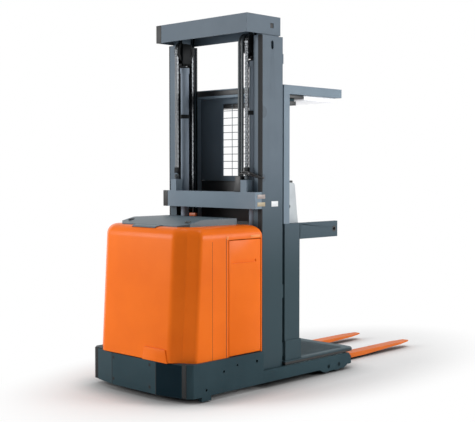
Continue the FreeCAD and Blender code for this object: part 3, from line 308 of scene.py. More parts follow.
@dataclass(frozen=True)
class WorkedSteel(Finish):
    """Bare or plated steel: the size of its grain tells rolled, turned and cast steel apart."""

    name: str
    colour: str
    roughness: float
    grain_mm: float
    depth_mm: float
    strength: float = 0.5

    def build(self, surface: Surface) -> None:
        """Make the surface a metal with a fine grain."""
        surface.dial({"Metallic": 1.0, "Roughness": self.roughness, "Base Color": linear(self.colour)})
        surface.relief(surface.grain(self.grain_mm), self.depth_mm, self.strength)


@dataclass(frozen=True)
class Moulded(Finish):
    """Rubber, polyurethane, plastic or film: an even colour broken by the grain of its mould."""

    name: str
    colour: str
    shade: str
    roughness: float
    grain_mm: float
    depth_mm: float
    glow: float = 0.0
    wear_mm: float = 60.0
    strength: float = 0.6

    def build(self, surface: Surface) -> None:
        """Add the mould's grain and a little wear of the colour.

        Args:
            surface: the material that is filled.
        """
        surface.dial({"Emission Color": linear(self.colour), "Emission Strength": self.glow,
                      "Roughness": self.roughness, "IOR": IOR})
        surface.tint(surface.grain(self.wear_mm), self.shade, self.colour)
        surface.relief(surface.grain(self.grain_mm, 2.0), self.depth_mm, self.strength)


# Painted sheet and castings: the hood takes the light glossier and warmer than the satin greys
HOOD_ENAMEL = SprayedPaint("hood_orange_enamel", "F87617", "F27013", Sheen.GLOSS, coat=0.04)
# Painted highlight: pale orange patches on the lip above the doors
HOOD_HIGHLIGHT_ORANGE = SprayedPaint("hood_painted_highlight_orange", "F79A57", "F29350", Sheen.SATIN)
FORK_ENAMEL = SprayedPaint("fork_orange_enamel", "DB712E", "D16827", Sheen.SATIN)
# The mast greys carry painted shade that darkens them towards the foot
MAST_ENAMEL = SprayedPaint("mast_grey_enamel", "5F6D79", "596773", Sheen.SATIN, foot="374950")
RAIL_ENAMEL = InwardShadedPaint("rail_grey_enamel", "5F6D79", "596773", Sheen.SATIN, foot="374950")
BEAM_ENAMEL = SprayedPaint("beam_grey_enamel", "7B8B98", "758592", Sheen.SATIN)
BOSS_GREY = SprayedPaint("boss_dark_grey_enamel", "55616B", "4F5B65", Sheen.SATIN)
# Partly painted light: the barrels' pale grey is raised further to lift them out of the mast's shade
BARREL_ENAMEL = SprayedPaint("barrel_pale_enamel", "8D9AA8", "8592A0", Sheen.SATIN)
# Painted highlight: the pale strip along the legs' tops
LEG_TOP_HIGHLIGHT = SprayedPaint("leg_top_painted_highlight", "7E9196", "73868B", Sheen.SATIN)
BASE_ENAMEL = SprayedPaint("base_slate_enamel", "34484F", "2F4249", Sheen.SATIN, coat=0.0, gleam=0.06)
# Painted shade: the dark colour of one corner facet of the bumper
CORNER_PAINTED_SHADE = SprayedPaint("bumper_corner_painted_shade", "13252D", "0F2028", Sheen.SATIN, coat=0.0, gleam=0.03)
BLACK_STEEL = SprayedPaint("yoke_black_enamel", "191C1F", "141719", Sheen.DULL)
HOUSING_ENAMEL = SprayedPaint("battery_tray_enamel", "3B4046", "353A3F", Sheen.DULL)
# Plastics: a fine grain keeps the highlight wide and dim; only the opal panel glows a little, as painted
# light
LID_PLASTIC = Moulded("lid_slate_abs", "4B5B64", "44545D", 0.42, 3.0, 0.06)
BLACK_PLASTIC = Moulded("console_black_abs", "17191C", "131518", 0.5, 2.5, 0.08)
GREY_PLASTIC = Moulded("console_grey_abs", "B9C0C4", "AEB5BA", 0.4, 2.5, 0.06)
ORANGE_COVER = Moulded("connector_orange_pbt", "B5541C", "A64C18", 0.45, 3.0, 0.05)
KNOB_RED = Moulded("stop_knob_red_pbt", "B3261E", "A3211A", 0.35, 3.0, 0.03)
CELL_PLASTIC = Moulded("battery_cell_polypropylene", "24282C", "1F2327", 0.45, 3.0, 0.05)
OPAL_PLASTIC = Moulded("opal_acrylic_painted_glow", "E4E5E8", "DEDFE3", 0.4, 8.0, 0.01, glow=0.35)
# Tyres, hoses, mats and the painted shadow of gaps: dull, with hardly any highlight
TYRE_RUBBER = Moulded("wheel_polyurethane", "26282B", "202225", 0.5, 4.0, 0.1)
LOAD_RUBBER = Moulded("load_wheel_polyurethane", "39464C", "334046", 0.5, 4.0, 0.1)
HOSE_RUBBER = Moulded("hose_nitrile_rubber", "17181A", "121315", 0.45, 2.0, 0.1)
# Painted sheen: the mast hoses get a lighter grey than the black rubber of the other hoses
MAST_HOSE_RUBBER = Moulded("mast_hose_rubber_painted_sheen", "454C50", "3E4549", 0.45, 2.0, 0.1)
FLOOR_RUBBER = Moulded("floor_mat_rubber", "4C5F66", "45575E", 0.7, 3.0, 0.3)
EDGE_RUBBER = Moulded("edge_band_rubber", "101214", "0D0F10", 0.6, 3.0, 0.1)
GAP_SHADOW = Moulded("dark_bolts_and_painted_gap_shadow", "070B0E", "05080A", 0.8, 3.0, 0.05)
# Films and glass: flat and smooth, so that they read as thin layers
LABEL_FILM = Moulded("blank_label_film", "E9ECEE", "E2E5E8", 0.4, 8.0, 0.01)
SAND_FILM = Moulded("blank_sand_label_film", "A8997A", "A09172", 0.4, 8.0, 0.01)
ROSE_FILM = Moulded("blank_rose_label_film", "9C8F8A", "948782", 0.4, 8.0, 0.01)
SCREEN_GLASS = Moulded("display_dark_glass", "10161C", "0E1318", 0.12, 8.0, 0.0)
# Metals: the rods mirror, plated bolts gleam, oiled chain and castings stay dark
CAST_STEEL = WorkedSteel("drive_cast_steel", "3A3D40", 0.55, 1.5, 0.15)
PLATED_STEEL = WorkedSteel("bolt_zinc_plated_steel", "B4B8BC", 0.34, 0.8, 0.02)
DARK_STEEL = WorkedSteel("bolt_phosphated_steel", "3C4043", 0.45, 0.8, 0.02)
CHAIN_STEEL = WorkedSteel("chain_oiled_steel", "6C6F72", 0.45, 0.8, 0.04)
ROD_CHROME = WorkedSteel("rod_hard_chrome", "D8DADC", 0.14, 1.2, 0.01)

FINISH_OF_SLOT = {
    "orange_paint": HOOD_ENAMEL, "mast_paint": MAST_ENAMEL, "base_paint": BASE_ENAMEL,
    "fork_paint": FORK_ENAMEL, "dark_metal": CAST_STEEL, "rod_chrome": ROD_CHROME,
    "bright_steel": PLATED_STEEL, "wheel_tyre": TYRE_RUBBER, "hose_rubber": HOSE_RUBBER,
    "black_plastic": BLACK_PLASTIC, "console_plastic": GREY_PLASTIC, "battery_tray": HOUSING_ENAMEL,
}
FINISH_OF_NODE = {
    "lift_cylinders": BARREL_ENAMEL, "mast_middle_beam": BEAM_ENAMEL, "overhead_guard": BEAM_ENAMEL,
    "outer_rail_left": RAIL_ENAMEL, "outer_rail_right": RAIL_ENAMEL,
    "inner_rail_left": RAIL_ENAMEL, "inner_rail_right": RAIL_ENAMEL,
}


# Meshes

def shade_faces(mesh: bpy.types.Mesh, smooth_deg: float) -> None:
    """Shade a mesh smooth, apart from edges sharper than smooth_deg."""
    mesh.shade_smooth()
    mesh.set_sharp_from_angle(angle=math.radians(smooth_deg))


def finished(name: str, shape: Shape, finish: Finish, smooth_deg: float = SMOOTH_DEG) -> Piece:
    """Turn a mesh in truck coordinates to an object that sits at the origin.

    Args:
        name: the piece's name.
        shape: the mesh, which is freed.
        finish: its finish.
        smooth_deg: edges sharper than this stay sharp.

    Returns:
        The linked object.
    """
    mesh = bpy.data.meshes.new(name)
    shape.to_mesh(mesh)
    shape.free()
    shade_faces(mesh, smooth_deg)
    made = bpy.data.objects.new(name, mesh)
    bpy.context.scene.collection.objects.link(made)
    mesh.materials.append(finish.material())
    return made


def settle(piece: Piece, smooth_deg: float = SMOOTH_DEG) -> Piece:
    """Turn a piece's modifiers to plain mesh.

    Args:
        piece: the piece, whose modifiers are taken off.
        smooth_deg: edges sharper than this stay sharp.

    Returns:
        The same piece with its new mesh.
    """
    graph = bpy.context.evaluated_depsgraph_get()
    mesh = bpy.data.meshes.new_from_object(piece.evaluated_get(graph))
    piece.modifiers.clear()
    before = piece.data
    piece.data = mesh
    bpy.data.meshes.remove(before)
    mesh.name = piece.name
    shade_faces(mesh, smooth_deg)
    return piece


def modify(piece: Piece, kind: str, values: dict[str, object]) -> Piece:
    """Add one modifier.

    Args:
        piece: the piece that gets it.
        kind: the modifier's type name.
        values: its settings.

    Returns:
        The same piece.
    """
    modifier = piece.modifiers.new(kind.lower(), kind)
    for title, value in values.items():
        setattr(modifier, title, value)
    return piece


def round_edges(shape: Shape, edges: Iterable[bmesh.types.BMEdge], width_mm: float, segments: int = 2,
                clamp: bool = False) -> None:
    """Round some edges of a mesh."""
    bmesh.ops.bevel(shape, geom=list(edges), offset=width_mm * MM, segments=segments, profile=0.5,
                    affect="EDGES", clamp_overlap=clamp)


def add_box(shape: Shape, box: Box, bevel_mm: float = 0.0, segments: int = 2) -> Shape:
    """Add a box.

    Args:
        shape: the mesh that gets it.
        box: its two ends across, its two stations and its two heights, in millimetres.
        bevel_mm: rounding of its edges.
        segments: pieces of the rounding.

    Returns:
        The same mesh.
    """
    ends = list(zip(at(*box[::2]), at(*box[1::2])))
    made = bmesh.ops.create_cube(shape, size=1.0)["verts"]
    scale = Matrix.Diagonal([abs(last - first) for first, last in ends] + [1.0])
    shift = Matrix.Translation([(last + first) / 2 for first, last in ends])
    bmesh.ops.transform(shape, matrix=shift @ scale, verts=made)
    if bevel_mm > 0:
        round_edges(shape, {edge for vert in made for edge in vert.link_edges}, bevel_mm, segments)
    return shape


def add_lathe(shape: Shape, axis: Axis, centre: Point, profile: Sequence[Flat], steps: int = 48,
              ring: bool = False) -> Shape:
    """Add a body of revolution.

    Args:
        shape: the mesh that gets it.
        axis: the way the profile's second number points.
        centre: where the profile's origin sits, in metres.
        profile: pairs of radius and distance along the axis in millimetres, from end to end.
        steps: divisions of the full turn.
        ring: join the profile's ends, for a body with a bore.

    Returns:
        The same mesh.
    """
    turns = {
        Axis.X: Matrix.Rotation(math.radians(90), 4, "Y"),
        Axis.Y: Matrix.Rotation(math.radians(-90), 4, "X"),
        Axis.Z: Matrix.Identity(4),
    }
    place = Matrix.Translation(centre) @ turns[axis] @ Matrix.Scale(MM, 4)
    rings = []
    for radius, level in profile:
        angles = [2 * math.pi * step / steps for step in range(steps if radius > 0 else 1)]
        spots = [Vector((radius * math.cos(angle), radius * math.sin(angle), level)) for angle in angles]
        rings.append([shape.verts.new(place @ spot) for spot in spots])
    pairs = list(zip(rings, rings[1:]))
    if ring:
        pairs.append((rings[-1], rings[0]))
    faces = []
    for first, second in pairs:
        for step in range(steps):
            after = (step + 1) % steps
            corners = [first[step % len(first)], first[after % len(first)],
                       second[after % len(second)], second[step % len(second)]]
            unique = list(dict.fromkeys(corners))
            if len(unique) > 2:
                faces.append(shape.faces.new(unique))
    if not ring:
        faces += [shape.faces.new(end) for end in (rings[0], rings[-1]) if len(end) > 1]
    bmesh.ops.recalc_face_normals(shape, faces=faces)
    return shape


def disc(radius: float, low: float, high: float) -> list[Flat]:
    """Return the lathe profile of a plain round bar."""
    return [(0, low), (radius, low), (radius, high), (0, high)]


def tube(inner: float, outer: float, low: float, high: float) -> list[Flat]:
    """Return the lathe profile of a plain ring."""
    return [(inner, low), (outer, low), (outer, high), (inner, high)]


def both_ways(profile: Sequence[Flat]) -> list[Flat]:
    """Return a profile followed by its mirror image along the axis."""
    return [*profile, *((radius, -level) for radius, level in reversed(profile))]


def circle_spots(middle: Point, radius_mm: float, count: int, flat: bool = False) -> list[Vector]:
    """Return points spread evenly round a lateral axle, or round an upright one.

    Args:
        middle: the circle's middle in metres.
        radius_mm: its radius.
        count: how many points.
        flat: lie level, round an upright axle.

    Returns:
        The points in metres.
    """
    spots = []
    for step in range(count):
        angle = 2 * math.pi * step / count
        pair = (radius_mm * MM * math.cos(angle), radius_mm * MM * math.sin(angle))
        spots.append(Vector(middle) + Vector((*pair, 0.0) if flat else (0.0, *pair)))
    return spots


def add_prism(shape: Shape, axis: Axis, outline: Sequence[Flat], span: Flat,
              bevel_mm: float = 0.0) -> Shape:
    """Add a closed prism whose outline lies across an axis.

    Args:
        shape: the mesh that gets it.
        axis: the axis the prism runs along.
        outline: corners as pairs of the two other measures, in the order across, station, height.
        span: start and end along the axis; all measures are in millimetres.
        bevel_mm: rounding of all its edges.

    Returns:
        The same mesh.
    """
    index = axis.value
    ends = [[shape.verts.new(at(*pair[:index], level, *pair[index:])) for pair in outline] for level in span]
    faces = [shape.faces.new(end) for end in ends]
    count = len(outline)
    for first in range(count):
        after = (first + 1) % count
        faces.append(shape.faces.new([ends[0][first], ends[0][after], ends[1][after], ends[1][first]]))
    bmesh.ops.recalc_face_normals(shape, faces=faces)
    if bevel_mm > 0:
        round_edges(shape, {edge for face in faces for edge in face.edges}, bevel_mm)
    return shape


def box_piece(name: str, finish: Finish, boxes: Sequence[Box], bevel_mm: float = 0.0) -> Piece:
    """Make one piece from boxes.

    Args:
        name: the piece's name.
        finish: its finish.
        boxes: its boxes, as add_box takes them.
        bevel_mm: rounding of the edges.

    Returns:
        The piece.
    """
    shape = bmesh.new()
    for box in boxes:
        add_box(shape, box, bevel_mm)
    return finished(name, shape, finish)


def mirrored(boxes: Sequence[Box]) -> list[Box]:
    """Return the boxes with their mirror images on the truck's other side."""
    return [*boxes, *((-box[1], -box[0], *box[2:]) for box in boxes)]


def carved(piece: Piece, shape: Shape) -> Piece:
    """Cut a closed shape out of a piece.

    Args:
        piece: the piece that is cut.
        shape: the closed shape in truck coordinates, which is freed.

    Returns:
        The same piece with its new mesh.
    """
    tool = finished(f"{piece.name}_cutter", shape, HOOD_ENAMEL)
    settle(modify(piece, "BOOLEAN", {"operation": "DIFFERENCE", "object": tool}))
    bpy.data.objects.remove(tool)
    return piece


def bent(start: Vector, here: Vector, end: Vector, steps: int) -> list[tuple[float, ...]]:
    """Return the points of a curve from start to end that bends toward here."""
    shares = [step / steps for step in range(steps + 1)]
    return [tuple(start * (1 - share) ** 2 + here * 2 * share * (1 - share) + end * share ** 2)
            for share in shares]


def rounded(corners: Sequence[Flat], radii: Sequence[float], steps: int = 6) -> list[Flat]:
    """Round the corners of a closed outline.

    Args:
        corners: the outline.
        radii: one radius for each corner; 0 leaves it sharp.
        steps: pieces of each rounding.

    Returns:
        The rounded outline, with the same count of points for any shape with these radii.
    """
    points = []
    for index, (corner, radius) in enumerate(zip(corners, radii)):
        here = Vector(corner)
        if radius <= 0:
            points.append(tuple(here))
            continue
        before = Vector(corners[index - 1]) - here
        after = Vector(corners[(index + 1) % len(corners)]) - here
        reach = min(radius / math.tan(before.angle(after) / 2), before.length * LONGEST_ROUNDING,
                    after.length * LONGEST_ROUNDING)
        points += bent(here + before.normalized() * reach, here, here + after.normalized() * reach, steps)
    return points


def softened(path: Sequence[Point], bend: float, steps: int = 5) -> list[Point]:
    """Round the corners of an open path.

    Args:
        path: its corners.
        bend: how far from a corner its rounding starts.
        steps: pieces of each rounding.

    Returns:
        The points of the rounded path.
    """
    corners = [Vector(corner) for corner in path]
    points = [tuple(corners[0])]
    for before, here, after in zip(corners, corners[1:], corners[2:]):
        start, end = [here + way.normalized() * min(bend, way.length * LONGEST_ROUNDING)
                      for way in (before - here, after - here)]
        points += bent(start, here, end, steps)
    return [*points, tuple(corners[-1])]


def smooth_copy(node: str, finish: Finish, smooth_deg: float, bevel_mm: float) -> Piece:
    """Copy a node's solid with its triangles joined, so that its curves shade smoothly.

    Args:
        node: the node's name.
        finish: the finish of the copy.
        smooth_deg: edges sharper than this stay sharp.
        bevel_mm: rounding of the sharp edges.

    Returns:
        The copy, named after the node with _skin added.
    """
    shape = bmesh.new()
    shape.from_mesh(frame["nodes"][node].data)
    bmesh.ops.remove_doubles(shape, verts=shape.verts, dist=JOINED_M)
    bmesh.ops.dissolve_limit(shape, angle_limit=math.radians(FLAT_DEG), verts=shape.verts,
                             edges=shape.edges)
    sharp = [edge for edge in shape.edges
             if len(edge.link_faces) == 2 and edge.calc_face_angle(0) > math.radians(smooth_deg)]
    round_edges(shape, sharp, bevel_mm, clamp=True)
    return finished(node + "_skin", shape, finish, smooth_deg)


def repaint(node: str, finish: Finish) -> None:
    """Give a node that stays its finish, and break its edges for show.

    Args:
        node: the node's name.
        finish: its finish.
    """
    item = frame["nodes"][node]
    item.data.materials.clear()
    item.data.materials.append(finish.material())
    modify(item, "WELD", {"merge_threshold": JOINED_M})
    modify(item, "BEVEL", {"width": SHOWN_EDGE_MM * MM, "segments": 2, "limit_method": "ANGLE",
                           "angle_limit": math.radians(SHOWN_EDGE_DEG)})
    log.info("%s repainted %s", node, finish.name)


@dataclass(frozen=True)
class Carrier:
    """A body of the truck that finished pieces ride on."""

    body: str

    def fit(self, piece: Piece, stands_for: Iterable[str] = ()) -> None:
        """Let a finished piece ride on the body and report it.

        Args:
            piece: the piece.
            stands_for: nodes that the piece replaces.
        """
        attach(piece, self.body)
        names = tuple(stands_for)
        if names:
            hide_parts(*names)
        log.info("%s on %s, %d faces", piece.name, self.body, len(piece.data.polygons))

    def take(self, name: str, shape: Shape, finish: Finish,
             stands_for: Iterable[str] = (), smooth_deg: float = SMOOTH_DEG) -> None:
        """Finish a mesh and fit it, with the arguments of finished and fit."""
        self.fit(finished(name, shape, finish, smooth_deg), stands_for)

    def boxes(self, name: str, finish: Finish, boxes: Sequence[Box], bevel_mm: float = 0.0,
              slot: str | None = None, stands_for: Iterable[str] = ()) -> None:
        """Make a piece from boxes and fit it, with the arguments of box_piece and fit."""
        self.fit(box_piece(name, finish, boxes, bevel_mm), stands_for)


CHASSIS = Carrier("chassis")
DRIVE = Carrier("drive")
LID = Carrier("lid")
INNER_MAST = Carrier("inner_mast")
CARRIAGE = Carrier("carriage")


# What repeats

class Recipe(ABC):
    """A Geometry Nodes tree with named sizes, run on points or paths and turned to plain mesh."""

    name: str
    sizes: dict[str, tuple[str, object]]

    def __init__(self, finish: Finish) -> None:
        """Build the tree.

        Args:
            finish: the finish of all that the recipe makes.
        """
        self.tree = bpy.data.node_groups.new(self.name, "GeometryNodeTree")
        face = self.tree.interface
        face.new_socket("Geometry", in_out="INPUT", socket_type="NodeSocketGeometry")
        self.sockets = {}
        for title, (kind, value) in self.sizes.items():
            socket = face.new_socket(title, in_out="INPUT", socket_type=kind)
            socket.default_value = value
            self.sockets[title] = socket.identifier
        face.new_socket("Geometry", in_out="OUTPUT", socket_type="NodeSocketGeometry")
        self.entry = self.tree.nodes.new("NodeGroupInput").outputs
        plain = self.add("GeometryNodeRealizeInstances", {0: self.grow()})
        painted = self.add("GeometryNodeSetMaterial", {"Material": finish.material(), "Geometry": plain})
        add_node(self.tree, "NodeGroupOutput", {0: painted})

    @abstractmethod
    def grow(self) -> Socket:
        """Add the recipe's own nodes and return the geometry they make."""

    def add(self, kind: str, values: dict | None = None, output: int = 0) -> Socket:
        """Add one node, as add_node does, and return one of its outputs."""
        return add_node(self.tree, kind, values).outputs[output]

    def share(self, title: str, factor: float) -> Socket:
        """Return a named size times a factor."""
        return number(self.tree, "MULTIPLY", self.entry[title], factor)

    def joined(self, parts: Sequence[Socket]) -> Socket:
        """Join geometries to one.

        Args:
            parts: the geometries.

        Returns:
            All of them together.
        """
        made = add_node(self.tree, "GeometryNodeJoinGeometry")
        for part in parts:
            self.tree.links.new(part, made.inputs[0])
        return made.outputs[0]

    def cut_path(self, step: str) -> Socket:
        """Cut the entering path to even pieces.

        Args:
            step: the named size that is their length.

        Returns:
            The cut path.
        """
        curve = self.add("GeometryNodeMeshToCurve", {"Mesh": self.entry["Geometry"]})
        values = {"mode": "LENGTH", "Curve": curve, "Length": self.entry[step]}
        return self.add("GeometryNodeResampleCurve", values)

    def run(self, name: str, spots: Sequence[Point], sizes: dict[str, object] | None = None,
            edges: Sequence[tuple[int, int]] = ()) -> Piece:
        """Run the tree on points.

        Args:
            name: the new piece's name.
            spots: where the items stand, or the corners of the paths.
            sizes: values of named inputs that differ from their defaults.
            edges: pairs of spots that a path joins.

        Returns:
            The piece as a plain mesh.
        """
        mesh = bpy.data.meshes.new(name)
        mesh.from_pydata([tuple(spot) for spot in spots], list(edges), [])
        piece = bpy.data.objects.new(name, mesh)
        bpy.context.scene.collection.objects.link(piece)
        modifier = piece.modifiers.new("recipe", "NODES")
        modifier.node_group = self.tree
        for title, value in (sizes or {}).items():
            modifier[self.sockets[title]] = value
        return settle(piece)

    def run_paths(self, name: str, paths: Sequence[Sequence[Point]], sizes: dict[str, object],
                  bend: float = 0.04) -> Piece:
        """Run the tree along several bent paths.

        Args:
            name: the new piece's name.
            paths: corners of each path in metres.
            sizes: values of named inputs that differ from their defaults.
            bend: how far from a corner its rounding starts.

        Returns:
            The piece as a plain mesh.
        """
        spots: list[Point] = []
        edges: list[tuple[int, int]] = []
        for path in paths:
            first = len(spots)
            spots += softened(path, bend)
            edges += [(index, index + 1) for index in range(first, len(spots) - 1)]
        return self.run(name, spots, sizes, edges)


class Bolts(Recipe):
    """Hexagon heads on washers, each turned at random about its axis."""

    name = "bolt_heads"
    sizes = {
        "Across": ("NodeSocketFloat", 0.016),
        "Head Height": ("NodeSocketFloat", 0.008),
        "Washer": ("NodeSocketFloat", 0.014),
        "Facing": ("NodeSocketVector", (0.0, 0.0, 1.0)),
        "Seed": ("NodeSocketInt", 7),
    }

    def grow(self) -> Socket:
        """Stand a head and its washer on every point.

        Returns:
            The bolts.
        """
        entry = self.entry
        head = self.add("GeometryNodeMeshCylinder", {
            "Vertices": 6, "Radius": self.share("Across", 0.5), "Depth": entry["Head Height"]})
        rise = self.add("ShaderNodeCombineXYZ", {"Z": self.share("Head Height", 0.7)})
        raised = self.add("GeometryNodeTransform", {"Geometry": head, "Translation": rise})
        washer = self.add("GeometryNodeMeshCylinder", {
            "Vertices": 20, "Radius": entry["Washer"], "Depth": self.share("Head Height", 0.5)})
        facing = self.add("FunctionNodeAlignRotationToVector", {"axis": "Z", "Vector": entry["Facing"]})
        chance = self.add("FunctionNodeRandomValue", {
            "data_type": "FLOAT", "Seed": entry["Seed"], 3: math.pi / 3}, output=1)
        spin = self.add("FunctionNodeAxisAngleToRotation", {"Axis": (0.0, 0.0, 1.0), "Angle": chance})
        turned = self.add("FunctionNodeRotateRotation", {"rotation_space": "LOCAL", 0: facing, 1: spin})
        return self.add("GeometryNodeInstanceOnPoints", {
            "Points": entry["Geometry"], "Instance": self.joined([raised, washer]), "Rotation": turned})


class LeafChain(Recipe):
    """A leaf chain along a path: pins with link plates that change sides from pitch to pitch."""

    name = "leaf_chain"
    sizes = {
        "Pitch": ("NodeSocketFloat", 0.0190),
        "Depth": ("NodeSocketFloat", 0.0134),
        "Width": ("NodeSocketFloat", 0.0300),
    }
    layers = ((-0.44, -0.22, 0.0, 0.22, 0.44), (-0.33, -0.11, 0.11, 0.33))
    plate_length = 1.85
    plate_thickness = 0.10
    pin_radius = 0.22

    def layer(self, places: Sequence[float]) -> Socket:
        """Make the plates of one pitch.

        Args:
            places: places of the plates across the chain, as shares of its width.

        Returns:
            The plates' geometry.
        """
        oval = self.add("GeometryNodeMeshCylinder", {"Vertices": 10, "Radius": 0.5, "Depth": 1.0})
        stretch = self.add("ShaderNodeCombineXYZ", {
            "X": self.share("Pitch", self.plate_length), "Y": self.entry["Depth"],
            "Z": self.share("Width", self.plate_thickness)})
        flat = self.add("GeometryNodeTransform", {"Geometry": oval, "Scale": stretch})
        upright = self.add("GeometryNodeTransform", {"Geometry": flat, "Rotation": QUARTER_TURN})
        rise = self.share("Pitch", 0.5)
        shifts = [self.add("ShaderNodeCombineXYZ", {"X": self.share("Width", place), "Z": rise})
                  for place in places]
        return self.joined([self.add("GeometryNodeTransform", {"Geometry": upright, "Translation": shift})
                            for shift in shifts])

    def grow(self) -> Socket:
        """Cut the path into pitches, and set a pin and one of two layers of plates on each.

        Returns:
            The chains.
        """
        cut = self.cut_path("Pitch")
        tangent = self.add("GeometryNodeInputTangent")
        turn = self.add("FunctionNodeAlignRotationToVector", {
            "axis": "Z", "pivot_axis": "X", "Vector": tangent})
        odd = number(self.tree, "MODULO", self.add("GeometryNodeInputIndex"), 2.0)
        even = number(self.tree, "SUBTRACT", 1.0, odd)
        parts = [self.add("GeometryNodeInstanceOnPoints", {
            "Points": cut, "Instance": self.layer(places), "Selection": chosen, "Rotation": turn})
            for places, chosen in zip(self.layers, (odd, even))]
        pin = self.add("GeometryNodeMeshCylinder", {
            "Vertices": 8, "Radius": self.share("Depth", self.pin_radius),
            "Depth": self.entry["Width"]})
        across = self.add("GeometryNodeTransform", {"Geometry": pin, "Rotation": QUARTER_TURN})
        pins = self.add("GeometryNodeInstanceOnPoints", {"Points": cut, "Instance": across, "Rotation": turn})
        return self.joined([*parts, pins])


class Hose(Recipe):
    """A round hose along a path, cut fine enough to stretch."""

    name = "hose_run"
    sizes = {
        "Radius": ("NodeSocketFloat", 0.011),
        "Step": ("NodeSocketFloat", 0.02),
    }

    def grow(self) -> Socket:
        """Sweep a circle along the evenly cut path.

        Returns:
            The hoses.
        """
        circle = self.add("GeometryNodeCurvePrimitiveCircle", {
            "Resolution": 14, "Radius": self.entry["Radius"]})
        values = {"Fill Caps": True, "Curve": self.cut_path("Step"), "Profile Curve": circle}
        return self.add("GeometryNodeCurveToMesh", values)


class Blocks(Recipe):
    """Ribs, bars, fins or caps of one size, one on each point."""

    name = "blocks"
    sizes = {"Size": ("NodeSocketVector", (0.7, 0.006, 0.004))}

    def grow(self) -> Socket:
        """Stand a block on every point."""
        block = self.add("GeometryNodeMeshCube", {"Size": self.entry["Size"]})
        return self.add("GeometryNodeInstanceOnPoints", {"Points": self.entry["Geometry"], "Instance": block})


class SubAssembly(ABC):
    """A group of pieces that is built and fitted together."""

    @abstractmethod
    def build(self) -> None:
        """Make the pieces and fit them to their bodies."""


# Running gear

@dataclass
class Wheel(SubAssembly):
    """One wheel: a moulded tyre on a dished cast hub with its nuts, around a lateral axle."""

    node: str
    body: str
    centre: Point
    radius: float
    width: float
    bore: float
    tyre: Finish
    nuts: int
    bolts: Bolts
    rim_share: float = 0.66
    hub_share: float = 1.9
    dish_share: float = 0.35
    soft_share: float = 0.1
    softest: float = 6.0
    nut_seed: int = 11

    def build(self) -> None:
        """Turn the tyre and the hub and stand the nuts on both sides."""
        carrier = Carrier(self.body)
        half, top, rim = self.width / 2, self.radius, self.radius * self.rim_share
        soft = min(self.width * self.soft_share, self.softest)
        tyre = [(rim, -half), (top - soft, -half), (top - soft * 0.3, soft * 0.3 - half), (top, soft - half)]
        shape = add_lathe(bmesh.new(), Axis.X, self.centre, both_ways(tyre), 64, ring=True)
        carrier.take(f"{self.node}_tyre", shape, self.tyre, [self.node])

        hub, dish = self.bore * self.hub_share, half * self.dish_share
        well = (hub * 1.05, rim * 0.84)
        profile = [(self.bore, -half * 0.96), (hub, -half * 0.96), (well[0], dish - half),
                   (well[1], dish - half), (rim * 0.9, -half * 0.97), (rim, -half * 0.97)]
        shape = add_lathe(bmesh.new(), Axis.X, self.centre, both_ways(profile), ring=True)
        carrier.take(f"{self.node}_hub", shape, CAST_STEEL)

        circle = sum(well) / 2
        x, y, z = self.centre
        for side, title in reversed(SIDES):
            spots = circle_spots((x + side * (half - dish) * MM, y, z), circle, self.nuts)
            nuts = self.bolts.run(f"{self.node}_nuts_{title}", spots, {
                "Across": circle * 0.34 * MM, "Head Height": dish * 0.5 * MM, "Washer": circle * 0.2 * MM,
                "Facing": (float(side), 0.0, 0.0), "Seed": self.nut_seed})
            carrier.fit(nuts)


